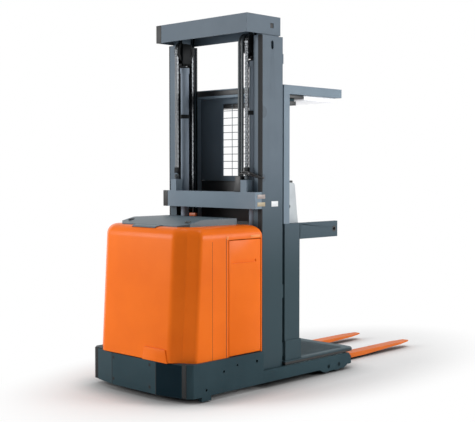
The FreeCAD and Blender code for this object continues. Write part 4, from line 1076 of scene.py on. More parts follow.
@dataclass
class RunningGear(SubAssembly):
    """Drive wheel, casters, load wheels and what carries them."""

    leg_middle: float = 473.5
    leg_inner: float = 413.5
    leg_outer: float = 533.5
    load_stations: Flat = (1508.0, 1636.0)
    caster_side: float = 395.0
    drive_station: float = 250.0

    def build(self) -> None:
        """Dress every wheel and its carrier."""
        bolts = Bolts(DARK_STEEL)
        Wheel("drive_wheel", "drive_tyre", at(0, self.drive_station, 127), 127, 120, 20.3, TYRE_RUBBER, 8,
              bolts).build()
        for side, title in SIDES:
            Wheel(f"caster_wheel_{title}", f"caster_tyre_{title}", at(side * self.caster_side, 185, 63),
                  63, 44, 8.3, TYRE_RUBBER, 5, bolts).build()
            for station, place in zip(self.load_stations, ("front", "rear")):
                Wheel(f"load_wheel_{place}_{title}", f"load_{place}_{title}",
                      at(side * self.leg_middle, station, 55), 55, 82, 12.3, LOAD_RUBBER, 5, bolts).build()
            self.dress_caster(side, title, bolts)
            self.dress_leg(side, title)
        self.dress_drive(bolts)

    def dress_caster(self, side: int, title: str, bolts: Bolts) -> None:
        """Add the swivel race and the axle nuts of one caster.

        Args:
            side: 1 on the left, -1 on the right.
            title: the side's name.
            bolts: the recipe of the nuts.
        """
        race = [(30, 154.3), (50, 154.3), (52, 157), (52, 162), (49, 165), (30, 165)]
        shape = add_lathe(bmesh.new(), Axis.Z, at(side * self.caster_side, 150, 0), race, ring=True)
        CHASSIS.take(f"caster_race_{title}", shape, PLATED_STEEL)
        for way in (-1, 1):
            name = f"caster_nut_{title}_{'inner' if way * side < 0 else 'outer'}"
            nut = bolts.run(name, [at(side * self.caster_side + way * 33.5, 185, 63)], {
                "Across": 0.018, "Head Height": 0.006, "Washer": 0.012, "Facing": (float(way), 0.0, 0.0)})
            Carrier(f"caster_{title}").fit(nut)

    def dress_leg(self, side: int, title: str) -> None:
        """Add the axle ends of one leg and a painted highlight strip along its top.

        Args:
            side: 1 on the left, -1 on the right.
            title: the side's name.
        """
        shape = bmesh.new()
        for station in self.load_stations:
            for start, end in ((self.leg_outer - 4, self.leg_outer), (self.leg_inner + 4, self.leg_inner)):
                add_lathe(shape, Axis.X, at(0, station, 55), disc(17, side * start, side * end), 24)
        CHASSIS.take(f"load_axle_ends_{title}", shape, DARK_STEEL)
        # Painted highlight: a pale strip along the leg's top edge
        strip = (side * 503, side * 521, 1012, 1700, 130.6, 131.8)
        CHASSIS.boxes(f"leg_worn_strip_{title}", LEG_TOP_HIGHLIGHT, [strip], 0.4, "base_paint")

    def dress_drive(self, bolts: Bolts) -> None:
        """Add the motor's ribs and brake, its terminal box and the bolts of the turntable.

        Args:
            bolts: the recipe of the bolts.
        """
        base, rib, gap, top = 112, 118, 106, 660
        profile = [(0, 330), (base, 330)]
        for level in range(340, top - 20, 18):
            profile += [(base, level), (rib, level + 2), (rib, level + 8), (gap, level + 10),
                        (gap, level + 16)]
        profile += [(base, top), (base * 0.92, top + 8), (base * 0.5, top + 10), (base * 0.5, top + 60),
                    (base * 0.42, top + 66), (0, top + 66)]
        shape = add_lathe(bmesh.new(), Axis.Z, at(0, self.drive_station, 0), profile, 64)
        DRIVE.take("motor_ribs", shape, CAST_STEEL, smooth_deg=BROAD_CURVE_DEG)
        DRIVE.boxes("motor_terminal_box", BLACK_STEEL, [(-60, 60, 348, 400, 520, 620)], 6, "dark_metal")
        spots = circle_spots(at(0, self.drive_station, 297), 157, 12, flat=True)
        heads = bolts.run("turntable_bolts", spots, {"Across": 0.017, "Head Height": 0.008})
        DRIVE.fit(heads)


# Power unit

@dataclass
class PowerUnit(SubAssembly):
    """Hood, lid, battery doors, bumper and what shows below the lid."""

    half_width: float = 515.0
    foot_reach: float = -23.0
    lean: float = 53.0
    corner: float = 158.0
    flank: Flat = (95.0, 144.0)
    fold: float = 8.0
    rounding: float = 80.0
    radii: tuple[float, ...] = (70.0, 6.0, 45.0, 0.0, 0.0, 0.0)
    foot: float = 275.0
    top: float = 1199.0
    wall: float = 6.0
    rear: float = 755.0
    door: Flat = (409.0, 746.0)
    door_top: float = 1105.0
    hinge: Flat = (506.0, 423.0)
    opening: tuple[float, float, float] = (331.0, 160.0, 600.0)
    touch: float = 0.1
    battery_top: float = 1055.0
    grip_bend: tuple[float, float, float] = (110.0, 1119.0, 84.0)
    grip_sheet: float = 3.5

    def build(self) -> None:
        """Build the hood and everything on it."""
        self.build_hood()
        self.build_hood_details()
        self.build_doors()
        self.build_lid()
        self.build_bumper_details()
        self.build_battery()
        self.build_drives()

    def plan(self, level: float) -> list[Flat]:
        """Return the hood's outline with its corners rounded.

        Args:
            level: height of the outline in millimetres.

        Returns:
            Pairs of across and station, as many at every level.
        """
        shoulder = self.top - self.rounding
        share = min(1.0, (level - self.foot) / (shoulder - self.foot))
        rise = max(0.0, level - shoulder) / self.rounding
        inset = self.rounding * (1.0 - math.sqrt(max(0.0, 1.0 - rise * rise)))
        face = self.half_width - self.corner
        front = self.foot_reach + self.lean * share
        flank = self.flank[0] + (self.flank[1] - self.flank[0]) * share
        side = self.half_width - inset
        deep = self.fold + inset
        rear = self.rear - inset
        right = [(face - inset * 0.33, front + inset),
                 ((face + self.half_width) / 2 - deep * 0.6, (flank + front) / 2 + deep * 0.8),
                 (side, flank + inset * 0.5), (side, self.door[0]), (side, min(self.door[1], rear - 1.0)),
                 (side, rear)]
        corners = right + [(-x, station) for x, station in reversed(right)]
        return rounded(corners, self.radii + self.radii[::-1])

    def build_hood(self) -> None:
        """Build the hood's shell, with its doorways and the opening below the lid."""
        shoulder = self.top - self.rounding
        levels = [self.foot, 420.0, self.door_top, shoulder]
        levels += [shoulder + self.rounding * math.sin(math.pi / 2 * step / 9) for step in range(1, 10)]
        plans = [self.plan(level) for level in levels]
        shape = bmesh.new()
        rings = [[shape.verts.new(at(*spot, level)) for spot in plan] for plan, level in zip(plans, levels)]
        count = len(rings[0])
        low, high = self.door[0] - self.touch, self.door[1] + self.touch
        for plan, level, lower, upper in zip(plans, levels, rings, rings[1:]):
            beside = [low < station < high and abs(abs(x) - self.half_width) < self.touch
                      for x, station in plan]
            for first in range(count):
                after = (first + 1) % count
                if not (beside[first] and beside[after] and level < self.door_top):
                    shape.faces.new([lower[first], lower[after], upper[after], upper[first]])
        reach, start, end = self.opening
        hole = [shape.verts.new(at(x, station, self.top))
                for x, station in ((-reach, start), (reach, start), (reach, end), (-reach, end))]
        rim = rings[-1]
        edges = [shape.edges.new(pair) for pair in zip(hole, hole[1:] + hole[:1])]
        edges += [shape.edges.get(pair) for pair in zip(rim, rim[1:] + rim[:1])]
        bmesh.ops.triangle_fill(shape, edges=edges, use_beauty=True)
        bmesh.ops.recalc_face_normals(shape, faces=shape.faces)
        skin = finished("hood_shell", shape, HOOD_ENAMEL, BROAD_CURVE_DEG)
        modify(skin, "SOLIDIFY", {"thickness": self.wall * MM, "offset": -1.0})
        CHASSIS.fit(settle(skin, BROAD_CURVE_DEG), ["power_hood"])

    def build_hood_details(self) -> None:
        """Add the hood's hinge lugs and blocks, painted shadow lines for its panel gaps, painted highlight
        patches and its raised foot.
        """
        bores = bmesh.new()
        for side in (-1, 1):
            add_lathe(bores, Axis.X, at(0, 656, 1207), disc(5.3, side * 190, side * 210), 24)
            add_lathe(bores, Axis.Z, at(side * self.hinge[0], self.hinge[1], 0), disc(4.3, 1100, 1128), 24)
        lugs = [(194, 206, 649, 663, 1198, 1214), (493, 511, 409, 435, 1105, 1123)]
        CHASSIS.fit(carved(box_piece("hood_lugs", HOOD_ENAMEL, mirrored(lugs), 1), bores))
        # Painted shadow: thin dark strips where the panel gaps fall
        gaps = [(514.4, 515.6, 386, 390, 276, 1116), (514.4, 515.5, 251, 253, 276, 1100)]
        CHASSIS.boxes("hood_panel_gap_shadows", GAP_SHADOW, mirrored(gaps))
        # Painted highlight: two pale patches on the lip above each door
        patches = [(514.2, 516, 392, 409, 1108, 1131), (514.2, 516, 636, 735, 1112, 1130)]
        CHASSIS.boxes("hood_painted_highlights", HOOD_HIGHLIGHT_ORANGE, mirrored(patches), 0.5)
        outline = [(90, 270), (112, 362), (330, 362), (352, 270)]
        shape = add_prism(bmesh.new(), Axis.Y, outline, (-27, -12), 3)
        CHASSIS.take("hood_raised_foot", shape, HOOD_ENAMEL)

    def build_doors(self) -> None:
        """Build the battery doors, each with a long shallow pull cut into it, a pivot and foam inside."""
        pull = rounded([(440, 936), (692, 936), (692, 956), (440, 956)], [9.8] * 4, 5)
        pivot = [(0, 264), (4, 264), (4, 280), (9, 280), (9, 1100), (2.8, 1100), (2.8, 1116), (0, 1116)]
        for side, title in SIDES:
            door = Carrier(f"door_{title}")
            shape = add_box(bmesh.new(), (side * 497, side * 515, 415, 741, 280, 1100), 4, 3)
            leaf = finished(f"door_leaf_{title}", shape, HOOD_ENAMEL)
            cutter = add_prism(bmesh.new(), Axis.X, pull, (side * 509, side * 530))
            door.fit(carved(leaf, cutter), [f"battery_door_{title}"])
            shape = add_lathe(bmesh.new(), Axis.Z, at(side * self.hinge[0], self.hinge[1], 0), pivot, 24)
            door.take(f"door_pivot_{title}", shape, HOOD_ENAMEL)
            foam = (side * 493, side * 497, 440, 725, 300, 930)
            door.boxes(f"door_foam_{title}", HOSE_RUBBER, [foam], 1, "black_plastic")

    def build_lid(self) -> None:
        """Build the lid with its two latches and its finger grip."""
        LID.fit(smooth_copy("top_lid", LID_PLASTIC, 20.0, 5), ["top_lid"])
        shape = bmesh.new()
        for x in (-308, 308):
            add_lathe(shape, Axis.Z, at(x, 215, 0), [(24, 1205), (24, 1228), (20, 1232), (0, 1232)], 24)
            add_box(shape, (x - 7, x + 7, 190, 240, 1224, 1236), 3)
        LID.take("lid_latches", shape, BLACK_PLASTIC)
        shape = bmesh.new()
        rows = []
        station, level, reach = self.grip_bend
        for step in range(9):
            angle = math.radians(58 + 4 * step)
            half = 124 + 1.5 * step
            spot = (station - reach * math.cos(angle), level + reach * math.sin(angle))
            rows.append([shape.verts.new(at(x, *spot)) for x in (-half, -half / 3, half / 3, half)])
        rows.append([shape.verts.new(at(x, 126, 1203)) for x in (-140, -46, 46, 140)])
        for lower, upper in zip(rows, rows[1:]):
            for index in range(3):
                shape.faces.new([lower[index], lower[index + 1], upper[index + 1], upper[index]])
        bmesh.ops.recalc_face_normals(shape, faces=shape.faces)
        grip = finished("lid_grip", shape, LID_PLASTIC)
        modify(grip, "SOLIDIFY", {"thickness": self.grip_sheet * MM, "offset": 0.0})
        LID.fit(settle(grip))

    def build_bumper_details(self) -> None:
        """Add the bumper's dark flush bolts, painted shadow in its seams and end recesses, and a panel of
        painted shade on its left corner.
        """
        shape = bmesh.new()
        for x, z in ((-224, 84), (-224, 240), (176, 84), (176, 240)):
            add_box(shape, (x - 10, x + 10, -31.3, -29, z - 10, z + 10))
        # Painted shadow: dark lines in the seams and strips in the recesses at the bumper's ends
        for side in (-1, 1):
            add_box(shape, (side * 241 - 3, side * 241 + 3, -31.2, -29, 41.5, 269.5))
            add_box(shape, (side * 459, side * 499, 14, 20.4, 44, 274), 0.5)
        CHASSIS.take("bumper_bolts_and_seam_shadows", shape, GAP_SHADOW)
        # Painted shade: a dark panel on the left corner facet only
        panel = [(246, -29), (246, -31), (457, 10.4), (457, 13)]
        shape = add_prism(bmesh.new(), Axis.Z, panel, (43, 268.5))
        CHASSIS.take("bumper_corner_shade_panel", shape, CORNER_PAINTED_SHADE)

    def build_battery(self) -> None:
        """Build the battery's tray and cells, with their caps, links, cables and connector."""
        columns, top = range(-472, 400, 79), self.battery_top
        tray = (-480, 480, 424, 734, 275.5, top - 24)
        CHASSIS.boxes("battery_tray", HOUSING_ENAMEL, [tray], 6, "battery_tray", ["battery"])
        cells = [(x, x + 74, station, station + 148, top - 24.5, top)
                 for x in columns for station in (430, 580)]
        CHASSIS.boxes("battery_cells", CELL_PLASTIC, cells, 3, "battery_tray")
        caps = [at(x + 37, station, top + 2) for x in columns for station in (504, 654)]
        CHASSIS.fit(Blocks(LABEL_FILM).run("battery_caps", caps, {"Size": (0.022, 0.022, 0.008)}))
        bars = [at(x + 76, station, top + 2) for x in columns[:-1] for station in (554, 604)]
        links = Blocks(CHAIN_STEEL).run("battery_links", bars, {"Size": (0.05, 0.014, 0.006)})
        CHASSIS.fit(links)
        path = ((-300, 440, 1062), (-300, 420, 1085), (-300, 395, 1060), (-300, 380, 900), (-270, 370, 700),
                (-240, 350, 560))
        paths = [[at(x - offset, station, z) for x, station, z in path] for offset in (0, 34)]
        cables = Hose(HOSE_RUBBER).run_paths("battery_cables", paths, {"Radius": 0.011})
        CHASSIS.fit(cables)
        CHASSIS.boxes("battery_connector", ORANGE_COVER, [(-352, -222, 350, 392, 520, 590)], 8)

    def build_drives(self) -> None:
        """Build the finned motor controller and the hydraulic pump on its tank."""
        controller = [(-430, -200, 130, 330, 300, 330), (-420, -210, 140, 320, 330, 420)]
        CHASSIS.boxes("motor_controller", CAST_STEEL, controller, 6, "dark_metal")
        spots = [at(-315, station, 426) for station in range(150, 316, 11)]
        fins = Blocks(CAST_STEEL).run("controller_fins", spots, {"Size": (0.2, 0.003, 0.014)})
        CHASSIS.fit(fins)
        shape = add_box(bmesh.new(), (215, 405, 110, 380, 275.5, 470), 20, 3)
        motor = [(0, 120), (70, 120), (74, 128), (74, 330), (50, 336), (50, 378), (0, 378)]
        add_lathe(shape, Axis.Y, at(310, 0, 565), motor)
        add_lathe(shape, Axis.Z, at(365, 335, 0), disc(26, 465, 490), 24)
        add_box(shape, (275, 345, 150, 330, 468, 500), 4)
        CHASSIS.take("pump_and_tank", shape, BLACK_STEEL, ["pump_unit"])


# Mast

@dataclass
class LiftLine(SubAssembly):
    """Two chains or hoses side by side: front runs, half turns over a sheave and rear runs."""

    name: str
    recipe: Recipe
    slot: str
    sides: Flat
    stations: Flat
    sheave: tuple[float, float, float]
    ends: Flat
    sunk: float = 0.0
    run_sizes: dict[str, object] = field(default_factory=dict)
    turn_sizes: dict[str, object] = field(default_factory=dict)
    held_end: float = 30.0
    held_top: float = 5.0

    def build(self) -> None:
        """Build the runs and between them the turns, which ride the inner mast."""
        middle, level, reach = self.sheave
        top = level - self.held_top
        foot, hook = self.ends
        self.build_run("front", self.stations[0], (foot - self.sunk, level), (foot + self.held_end, top),
                       ("chassis", "inner_mast"))
        angles = [math.pi * (1 - step / 16) for step in range(17)]
        arc = [(middle + reach * math.cos(angle), level + reach * math.sin(angle)) for angle in angles]
        turns = [[at(x, *spot) for spot in arc] for x in self.sides]
        INNER_MAST.fit(self.recipe.run_paths(f"{self.name}_turns", turns, self.turn_sizes))
        self.build_run("rear", self.stations[1], (level, hook), (top, hook + self.held_end),
                       ("inner_mast", "carriage"))

    def build_run(self, place: str, station: float, levels: Flat, held: Flat,
                  bodies: tuple[str, str]) -> None:
        """Build two straight runs, hide the node they stand for and log the bodies named for their ends.

        Args:
            place: front or rear.
            station: where the runs hang.
            levels: heights of their two ends.
            held: heights where the stretch would start and end; not used.
            bodies: the bodies named for the two ends in the log.
        """
        paths = [[at(x, station, z) for z in levels] for x in self.sides]
        runs = self.recipe.run_paths(f"{self.name}_{place}_runs", paths, self.run_sizes)
        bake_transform(runs)
        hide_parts(f"{place}_{self.name}s")
        log.info("%s from %s to %s, %d faces", runs.name, *bodies, len(runs.data.polygons))


@dataclass
class Mast(SubAssembly):
    """Uprights and beams with their labels, stops, sheaves, chains, hoses and lift cylinders."""

    chain_side: float = 380.0
    front_run: float = 736.0
    rear_run: float = 894.0
    sheave: tuple[float, float, float] = (815.0, 2521.0, 79.0)
    chain_ends: Flat = (1603.0, 480.0)
    hose_sides: Flat = (304.0, 334.0)
    hose_rear: float = 878.0
    hose_ends: Flat = (1530.0, 300.0)
    pulley: tuple[float, float, float] = (807.0, 2521.0, 71.0)
    cylinder_side: float = 372.0

    def build(self) -> None:
        """Dress the uprights and hang the chains and hoses."""
        self.dress_rails()
        self.dress_beams()
        self.build_sheaves()
        LiftLine("chain", LeafChain(CHAIN_STEEL), "bright_steel", (-self.chain_side, self.chain_side),
                 (self.front_run, self.rear_run), self.sheave, self.chain_ends, sunk=6.0).build()
        LiftLine("hose", Hose(MAST_HOSE_RUBBER), "hose_rubber", self.hose_sides,
                 (self.front_run, self.hose_rear), self.pulley, self.hose_ends,
                 run_sizes={"Step": 0.03}, turn_sizes={"Step": 0.01}).build()
        self.build_hose_loop()
        self.dress_cylinders()

    def dress_rails(self) -> None:
        """Add painted shadow strips on the outer rails' front corners, their stops, bosses and blank plates.
        """
        # Painted shadow: thin near-black strips on the rails' front corners
        strips = []
        for low, high in ((140, 1311), (1437, 2574)):
            strips += [(464, 500.6, 766.2, 776, low, high), (-500.6, -492, 766.2, 776, low, high)]
        CHASSIS.boxes("rail_corner_shadows", GAP_SHADOW, strips)
        stops = mirrored([(468, 499, 996, 1005.5, 2380, 2452)])
        CHASSIS.boxes("rail_stops", MAST_ENAMEL, stops, 2, "mast_paint")
        shape = bmesh.new()
        angles = [math.pi * (step / 16 - 0.5) for step in range(17)]
        for side in (-1, 1):
            for level, radius in ((2018, 46), (1538, 32)):
                boss = [(777 + radius * math.cos(angle), level + radius * math.sin(angle))
                        for angle in angles]
                add_prism(shape, Axis.X, boss, (side * 499.2, side * 500.4))
        CHASSIS.take("rail_bosses", shape, BOSS_GREY)
        CHASSIS.boxes("rail_blank_plate", LABEL_FILM, [(499.8, 501, 873, 945, 1327, 1366)], 0.4)
        for name, finish, level in (("rose", ROSE_FILM, 1387), ("sand", SAND_FILM, 1331)):
            label = (499.8, 500.9, 722, 804, level, level + 30)
            CHASSIS.boxes(f"beam_blank_{name}_label", finish, [label], 0.4)

    def dress_beams(self) -> None:
        """Add the beams' covers, painted shadow inside the head's windows, the hanging connector and the
        front anchors of the chains.
        """
        INNER_MAST.boxes("head_end_cover", EDGE_RUBBER, [(-489.3, -430, 620.4, 640, 2582.4, 2718)], 3)
        # Painted shadow: dark blocks inside the head's windows
        window_shadow_boxes = mirrored([(470, 486, 868, 908, 2630, 2671)])
        INNER_MAST.boxes("head_window_shadows", EDGE_RUBBER, window_shadow_boxes, 0.5)
        CHASSIS.boxes("beam_end_cover", EDGE_RUBBER, [(-500.8, -447, 698.4, 720, 1312, 1436)], 3)
        outline = [(276, 1434.5), (362, 1434.5), (350, 1500), (346, 1552), (292, 1552), (288, 1500)]
        shape = add_prism(bmesh.new(), Axis.Y, outline, (702, 764), 6)
        CHASSIS.take("hose_clamp_cover", shape, BLACK_PLASTIC)
        CHASSIS.boxes("connector_hanger", BLACK_STEEL, [(-209, -197, 742, 750, 1262, 1314)], 1)
        CHASSIS.boxes("hanging_connector", ORANGE_COVER, [(-238, -168, 734, 758, 1238, 1264)], 4)
        side, run = self.chain_side, self.front_run
        spots = [at(x, run, level) for x in (-side, side) for level in (1530, 1548)]
        nuts = Bolts(DARK_STEEL).run("chain_anchor_nuts", spots, {
            "Across": 0.034, "Head Height": 0.013, "Washer": 0.02})
        CHASSIS.fit(nuts)
        clevises = mirrored([(side - 21, side + 21, run - 10, run + 10, 1572, 1616)])
        CHASSIS.boxes("chain_anchor_clevises", BLACK_STEEL, clevises, 4, "dark_metal")

    def build_sheaves(self) -> None:
        """Build the dished sheaves with their grooves and bolts, the yoke covers and the hose pulley."""
        station, level, _ = self.sheave
        wheel = [(15.5, -20), (30, -20), (32, -14), (60, -14), (64, -20), (84, -20), (84, -16.5), (71, -15.8)]
        bolts = Bolts(DARK_STEEL)
        for side, title in SIDES:
            carrier = Carrier(f"sheave_{title}")
            centre = at(side * self.chain_side, station, level)
            shape = add_lathe(bmesh.new(), Axis.X, centre, both_ways(wheel), 64, ring=True)
            carrier.take(f"sheave_{title}_wheel", shape, BLACK_STEEL, [f"chain_sheave_{title}"])
            spots = circle_spots(at(side * (self.chain_side + 15), station, level), 46, 6)
            heads = bolts.run(f"sheave_{title}_bolts", spots, {
                "Across": 0.012, "Head Height": 0.003, "Washer": 0.008, "Facing": (float(side), 0.0, 0.0)})
            carrier.fit(heads)
        covers = [(348, 357.6, 774, 856, 2411.4, 2583), (402.4, 412, 774, 856, 2411.4, 2583),
                  (348, 412, 774, 856, 2411.4, 2428.6)]
        INNER_MAST.boxes("yoke_covers", BLACK_STEEL, mirrored(covers), 0.4, "dark_metal")
        station, level, reach = self.pulley
        groove, flange = reach - 10.8, reach + 4
        rim = [(20, 293.5), (groove, 293.5), (groove, 315.5), (flange, 316.5), (flange, 321.5),
               (groove, 322.5), (groove, 344.5), (20, 344.5)]
        shape = add_lathe(bmesh.new(), Axis.X, at(0, station, level), rim, ring=True)
        INNER_MAST.take("hose_pulley_rim", shape, BLACK_PLASTIC)

    def build_hose_loop(self) -> None:
        """Build the two-hose loop that leads from the clamp to the left upright."""
        loops = []
        for x, rise in ((312, 0), (328, 14)):
            loops.append([at(x, 732, 1536), at(x + 6, 726, 1572 + rise), at(x + 90, 722, 1566 + rise),
                          at(x + 140, 748, 1548 + rise / 2), at(506 - rise / 3, 758, 1540),
                          at(504, 781, 1538)])
        loop = Hose(HOSE_RUBBER).run_paths("hose_loop", loops, {"Radius": 0.007, "Step": 0.012}, 0.05)
        CHASSIS.fit(loop)

    def dress_cylinders(self) -> None:
        """Add the gland nut and the two collars of each lift cylinder."""
        gland = [(22.5, 2395.2), (34, 2395.2), (36, 2398), (34, 2404), (22.5, 2406)]
        shape = bmesh.new()
        for side in (-1, 1):
            for profile in (gland, tube(32.5, 38.5, 2000, 2030), tube(32.5, 39, 150, 190)):
                add_lathe(shape, Axis.Z, at(side * self.cylinder_side, 815, 0), profile, 32, ring=True)
        CHASSIS.take("cylinder_collars", shape, BLACK_STEEL)


# Operator's place

@dataclass
class OperatorStation(SubAssembly):
    """Console, floor, guard, gates and the carriage that lifts them."""

    console_front: float = 1075.0
    console_rear: float = 1240.0
    console_half: float = 440.0
    console_bend: float = 1200.0
    console_top: float = 1500.0
    console_lean: float = 38.0
    deck_half: float = 525.0
    deck_front: float = 1003.0
    deck_end: float = 1850.0
    deck_radius: float = 70.0
    band_reach: float = 1.6

    def build(self) -> None:
        """Dress the console, the floor, the guard, the gates and the carriage."""
        self.dress_guard()
        self.build_console()
        self.build_controls()
        self.build_floor()
        self.dress_gates()
        self.dress_carriage()

    def lean_face(self, level: float) -> float:
        """Return the station of the console's rear face at a level."""
        share = (level - self.console_bend) / (self.console_top - self.console_bend)
        return self.console_rear - self.console_lean * max(0.0, share)

    def build_console(self) -> None:
        """Build the pale case, the dark panel toward the operator, back cover, tray and side knobs."""
        front, rear, half = self.console_front, self.console_rear, self.console_half
        side = rounded([(front, 1010), (rear, 1010), (rear, self.console_bend),
                        (rear - self.console_lean, self.console_top), (front, self.console_top)],
                       [4, 40, 120, 30, 4])
        shape = add_prism(bmesh.new(), Axis.X, side, (-half, half))
        CARRIAGE.take("console_case", shape, GREY_PLASTIC, ["control_console"],
                      BROAD_CURVE_DEG)
        levels = (1040, 1200, 1300, 1470)
        panel = [(self.lean_face(z) + 3, z) for z in levels]
        panel += [(self.lean_face(z) - 12, z) for z in reversed(levels)]
        shape = add_prism(bmesh.new(), Axis.X, panel, (-410, 410), 3)
        CARRIAGE.take("console_panel", shape, BLACK_PLASTIC)
        cover = [(-439.6, 439.6, 1069, 1076, 1009, 1196), (-449.6, 449.6, 1069, 1076, 1195, 1500.5),
                 (-449.6, 449.6, 1069, 1074, 1499, 1509.6)]
        CARRIAGE.boxes("console_back_cover", BLACK_PLASTIC, cover, 1, "black_plastic")
        tray = [(-428, 428, 1082, 1192, 1496, 1503), (-428, 428, 1082, 1090, 1500, 1516),
                (-428, -420, 1090, 1192, 1500, 1516), (420, 428, 1090, 1192, 1500, 1516)]
        CARRIAGE.boxes("console_tray", BLACK_PLASTIC, tray, 2, "black_plastic")
        shape = bmesh.new()
        for side in (-1, 1):
            low, high = sorted((side * 439.5, side * 456))
            knob = [(0, low), (16, low), (18, (low + high) / 2), (14, high), (0, high)]
            add_lathe(shape, Axis.X, at(0, 1120, 1320), knob, 24)
        CARRIAGE.take("console_side_knobs", shape, BLACK_PLASTIC)

    def build_controls(self) -> None:
        """Build the steering tiller, the lift handle, the stop knob, the key switch and the display."""
        disk = [(0, 1236), (85, 1236), (90, 1242), (82, 1262), (30, 1268), (0, 1268)]
        shape = add_lathe(bmesh.new(), Axis.Y, at(-190, 0, 1240), disk)
        add_box(shape, (-200, -180, 1262, 1278, 1170, 1310), 6)
        knob = [(9, 1270), (9, 1290), (20, 1296), (22, 1312), (14, 1322), (0, 1322)]
        add_lathe(shape, Axis.Y, at(-190, 0, 1300), knob, 24)
        CARRIAGE.take("steering_tiller", shape, BLACK_PLASTIC)
        shape = add_box(bmesh.new(), (130, 270, 1232, 1292, 1190, 1225), 10, 3)
        grip = [(0, 130), (20, 134), (24, 150), (21, 200), (24, 250), (20, 268), (0, 272)]
        add_lathe(shape, Axis.X, at(0, 1300, 1262), grip, 32)
        for x in (142, 258):
            add_box(shape, (x - 7, x + 7, 1278, 1306, 1215, 1268), 4)
        CARRIAGE.take("lift_handle", shape, BLACK_PLASTIC)
        face = self.lean_face(1400) + 3
        knob = [(12, face - 4), (12, face + 12), (22, face + 16), (24, face + 28), (18, face + 34),
                (0, face + 35)]
        CARRIAGE.take("stop_knob", add_lathe(bmesh.new(), Axis.Y, at(330, 0, 1400), knob, 32), KNOB_RED)
        lock = [(14, face - 4), (14, face + 6), (10, face + 9), (0, face + 9)]
        shape = add_lathe(bmesh.new(), Axis.Y, at(230, 0, 1400), lock, 24)
        add_box(shape, (228, 232, face + 8, face + 26, 1388, 1412), 1)
        CARRIAGE.take("key_switch", shape, PLATED_STEEL)
        low, high = self.lean_face(1350) + 2, self.lean_face(1450) + 2
        glass = [(low, 1350), (low + 6, 1350), (high + 6, 1450), (high, 1450)]
        shape = add_prism(bmesh.new(), Axis.X, glass, (-90, 90), 1)
        CARRIAGE.take("display_glass", shape, SCREEN_GLASS)

    def build_floor(self) -> None:
        """Build the deck's black edge band and its ribbed mat."""
        grow = self.band_reach
        half, front, end = self.deck_half + grow, self.deck_front - grow, self.deck_end + grow
        corners = [(-half, front), (half, front), (half, end), (-half, end)]
        band = rounded(corners, [0, 0, self.deck_radius + grow, self.deck_radius + grow], 10)
        shape = add_prism(bmesh.new(), Axis.Z, band, (139.5, 157.5))
        CARRIAGE.take("deck_edge_band", shape, EDGE_RUBBER)
        corners = [(-432, 1026), (432, 1026), (432, 1212), (512, 1212), (512, 1838), (-512, 1838),
                   (-512, 1212), (-432, 1212)]
        mat = rounded(corners, [0, 0, 0, 0, 60, 60, 0, 0], 8)
        CARRIAGE.take("floor_mat", add_prism(bmesh.new(), Axis.Z, mat, (164.5, 168)), FLOOR_RUBBER)
        spots = [at(0, 1225 + 16 * step, 168.3) for step in range(34)]
        CARRIAGE.fit(Blocks(FLOOR_RUBBER).run("floor_mat_ribs", spots, {"Size": (0.94, 0.006, 0.0024)}))

    def dress_guard(self) -> None:
        """Add the guard's dark light bar and front strip, the slate band and the opal panel, which glows a
        little as painted light.
        """
        dark = [(-425, 470, 1080, 1272, 2136, 2162.5), (-380, 440, 1084, 1216, 2086, 2117),
                (-430, 430, 1008.8, 1011, 2182, 2222)]
        CARRIAGE.boxes("guard_light_bar", BLACK_PLASTIC, dark, 2, "black_plastic")
        band = (-370, 430, 1090, 1208, 2116, 2137)
        CARRIAGE.boxes("guard_light_band", BASE_ENAMEL, [band], 2, "base_paint")
        CARRIAGE.boxes("guard_opal_panel", OPAL_PLASTIC, [(-466, 466, 1276, 1646, 2126, 2162.5)], 6)

    def dress_gates(self) -> None:
        """Add the dark grommets of the gates' hand holes."""
        for side, title in SIDES:
            profile = tube(13.5, 24, side * 471.2, side * 500.8)
            shape = add_lathe(bmesh.new(), Axis.X, at(0, 1608, 1133.5), profile, 32, ring=True)
            Carrier(f"gate_{title}").take(f"gate_grommet_{title}", shape, BLACK_PLASTIC)

    def dress_carriage(self) -> None:
        """Add the steel tyres of the carriage rollers and the bolts of its cross plates."""
        shape = bmesh.new()
        for side in (-1, 1):
            low, high = sorted((side * 424.2, side * 460.4))
            tyre = [(65.5, low), (68, low + 1), (68, high - 1), (65.5, high)]
            for level in (266, 674):
                add_lathe(shape, Axis.X, at(0, 881.5, level), tyre, ring=True)
        CARRIAGE.take("roller_tyres", shape, PLATED_STEEL)
        spots = [at(x, 1021.5, z) for x in (-300, -400, 300, 400) for z in (225, 275, 665, 715)]
        bolts = Bolts(DARK_STEEL).run("carriage_bolts", spots, {"Facing": (0.0, 1.0, 0.0)})
        CARRIAGE.fit(bolts)


# Photograph's studio

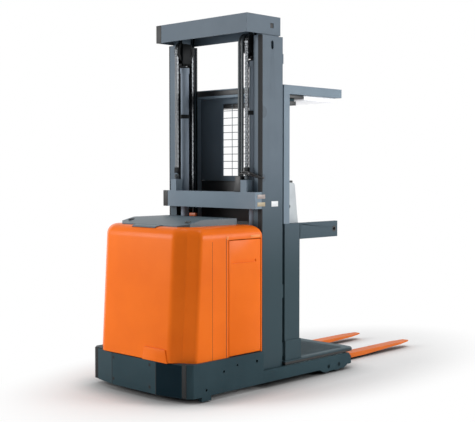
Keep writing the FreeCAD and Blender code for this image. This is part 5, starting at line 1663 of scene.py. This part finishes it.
@dataclass
class Studio:
    """Pale floor, soft lamps and the photograph's camera."""

    floor_half: float = 40.0
    camera_place: Point = (5.330, -5.8995, 1.604)
    heading_deg: float = 44.226
    pitch_deg: float = 2.466
    focus_px: float = 977.66
    sensor_mm: float = 36.0
    sky_light: float = 0.25
    lamps_aim: Point = (0.0, -0.5, 1.4)
    shadow_shape: Point = (0.8, 0.42, 0.0)
    shadow_fade: Flat = (0.62, 1.15)
    white: tuple[float, ...] = (1.0, 1.0, 1.0, 1.0)
    floor_grey: tuple[float, ...] = (0.92, 0.92, 0.92, 1.0)
    contact_shade_reach: float = 0.25

    def build(self) -> None:
        """Lay the floor, hang the lamps and aim the camera."""
        bpy.context.scene.view_settings.view_transform = "Standard"
        self.lay_floor()
        self.paint_sky()
        self.hang_lamp("front_softbox", (-4.4, -6.3, 3.2), 3.2, 335.0)
        self.hang_lamp("side_softbox", (6.6, 3.9, 3.0), 3.2, 400.0)
        self.hang_lamp("top_softbox", (0.0, 1.0, 8.5), 4.0, 230.0)
        self.aim_camera()

    def lay_floor(self) -> None:
        """Lay a wide floor that keeps the truck's shadow, darkens near the truck by ambient occlusion as
        painted contact shadow, and fades to the sky's white away from it.
        """
        material = bpy.data.materials.new("studio_floor_paint")
        material.use_nodes = True
        tree = material.node_tree
        tree.nodes.clear()
        place = add_node(tree, "ShaderNodeTexCoord").outputs["Object"]
        oval = add_node(tree, "ShaderNodeVectorMath", {
            "operation": "MULTIPLY", 0: place, 1: self.shadow_shape}).outputs[0]
        reach = add_node(tree, "ShaderNodeVectorMath", {"operation": "LENGTH", 0: oval}).outputs["Value"]
        low, high = self.shadow_fade
        fade = add_node(tree, "ShaderNodeMapRange", {
            "interpolation_type": "SMOOTHSTEP", "From Min": low, "From Max": high, "Value": reach})
        share = number(tree, "MULTIPLY", self.seen_rays(tree), fade.outputs["Result"], clamp=True)
        # Painted contact shadow: occlusion darkens the floor's colour close to the truck
        painted_contact_shade = add_node(tree, "ShaderNodeAmbientOcclusion", {
            "samples": 8, "Distance": self.contact_shade_reach, "Color": self.floor_grey})
        paint = add_node(tree, "ShaderNodeBsdfDiffuse", {"Color": painted_contact_shade.outputs["Color"]}).outputs[0]
        glow = add_node(tree, "ShaderNodeEmission", {"Color": self.white, "Strength": 1.0}).outputs[0]
        mix = add_node(tree, "ShaderNodeMixShader", {0: share, 1: paint, 2: glow}).outputs[0]
        add_node(tree, "ShaderNodeOutputMaterial", {"Surface": mix})
        mesh = bpy.data.meshes.new("studio_floor")
        half = self.floor_half
        corners = [(-half, -half, 0), (half, -half, 0), (half, half, 0), (-half, half, 0)]
        mesh.from_pydata(corners, [], [(0, 1, 2, 3)])
        mesh.materials.append(material)
        floor = bpy.data.objects.new("studio_floor", mesh)
        bpy.context.scene.collection.objects.link(floor)

    def seen_rays(self, tree: Tree) -> Socket:
        """Add the test for rays that show the backdrop itself.

        Args:
            tree: the floor's or the sky's node tree.

        Returns:
            1 for the camera's rays and for mirrored and transmitted ones, else 0.
        """
        rays = add_node(tree, "ShaderNodeLightPath").outputs
        direct = number(tree, "MAXIMUM", rays["Is Camera Ray"], rays["Is Glossy Ray"])
        return number(tree, "MAXIMUM", direct, rays["Is Transmission Ray"])

    def paint_sky(self) -> None:
        """Light the scene with an even pale sky that looks white to the camera and in reflections."""
        world = bpy.data.worlds.new("studio_sky")
        bpy.context.scene.world = world
        world.use_nodes = True
        tree = world.node_tree
        tree.nodes.clear()
        glow, plain = [add_node(tree, "ShaderNodeBackground", {"Color": self.white, "Strength": strength})
                       for strength in (self.sky_light, 1.0)]
        mix = add_node(tree, "ShaderNodeMixShader", {
            0: self.seen_rays(tree), 1: glow.outputs[0], 2: plain.outputs[0]})
        add_node(tree, "ShaderNodeOutputWorld", {"Surface": mix.outputs[0]})

    def place_item(self, name: str, data: bpy.types.ID, place: Point, ahead: Vector) -> Piece:
        """Place a lamp or a camera.

        Args:
            name: its name.
            data: the lamp or the camera.
            place: where it stands.
            ahead: the way it looks.

        Returns:
            The linked object.
        """
        item = bpy.data.objects.new(name, data)
        item.location = place
        item.rotation_mode = "QUATERNION"
        item.rotation_quaternion = ahead.to_track_quat("-Z", "Y")
        bpy.context.scene.collection.objects.link(item)
        return item

    def hang_lamp(self, name: str, place: Point, width: float, watts: float) -> None:
        """Hang one square soft lamp that points at the truck's mast.

        Args:
            name: its name.
            place: where it hangs.
            width: its side in metres.
            watts: its power.
        """
        lamp = bpy.data.lights.new(name, "AREA")
        lamp.size = width
        lamp.energy = watts
        self.place_item(name, lamp, place, Vector(self.lamps_aim) - Vector(place))

    def aim_camera(self) -> None:
        """Place the camera as the photograph's vanishing points give it."""
        camera = bpy.data.cameras.new("photo_camera")
        camera.sensor_width = self.sensor_mm
        camera.lens = self.focus_px / PHOTO_SIZE[0] * self.sensor_mm
        camera.clip_end = 200.0
        heading, pitch = math.radians(self.heading_deg), math.radians(self.pitch_deg)
        level = math.cos(pitch)
        ahead = Vector((-math.sin(heading) * level, math.cos(heading) * level, -math.sin(pitch)))
        bpy.context.scene.camera = self.place_item("photo_camera", camera, self.camera_place, ahead)


def main() -> None:
    """Build the studio and dress the truck."""
    logging.basicConfig(level=logging.INFO, format="%(message)s")
    Studio().build()
    for group in (RunningGear(), PowerUnit(), Mast(), OperatorStation()):
        group.build()
    for row in frame["record"]["subparts"]:
        node = row["node"]
        repaint(node, FINISH_OF_NODE.get(node, FINISH_OF_SLOT[row["material_slot"]]))


if __name__ == "__main__":
    main()
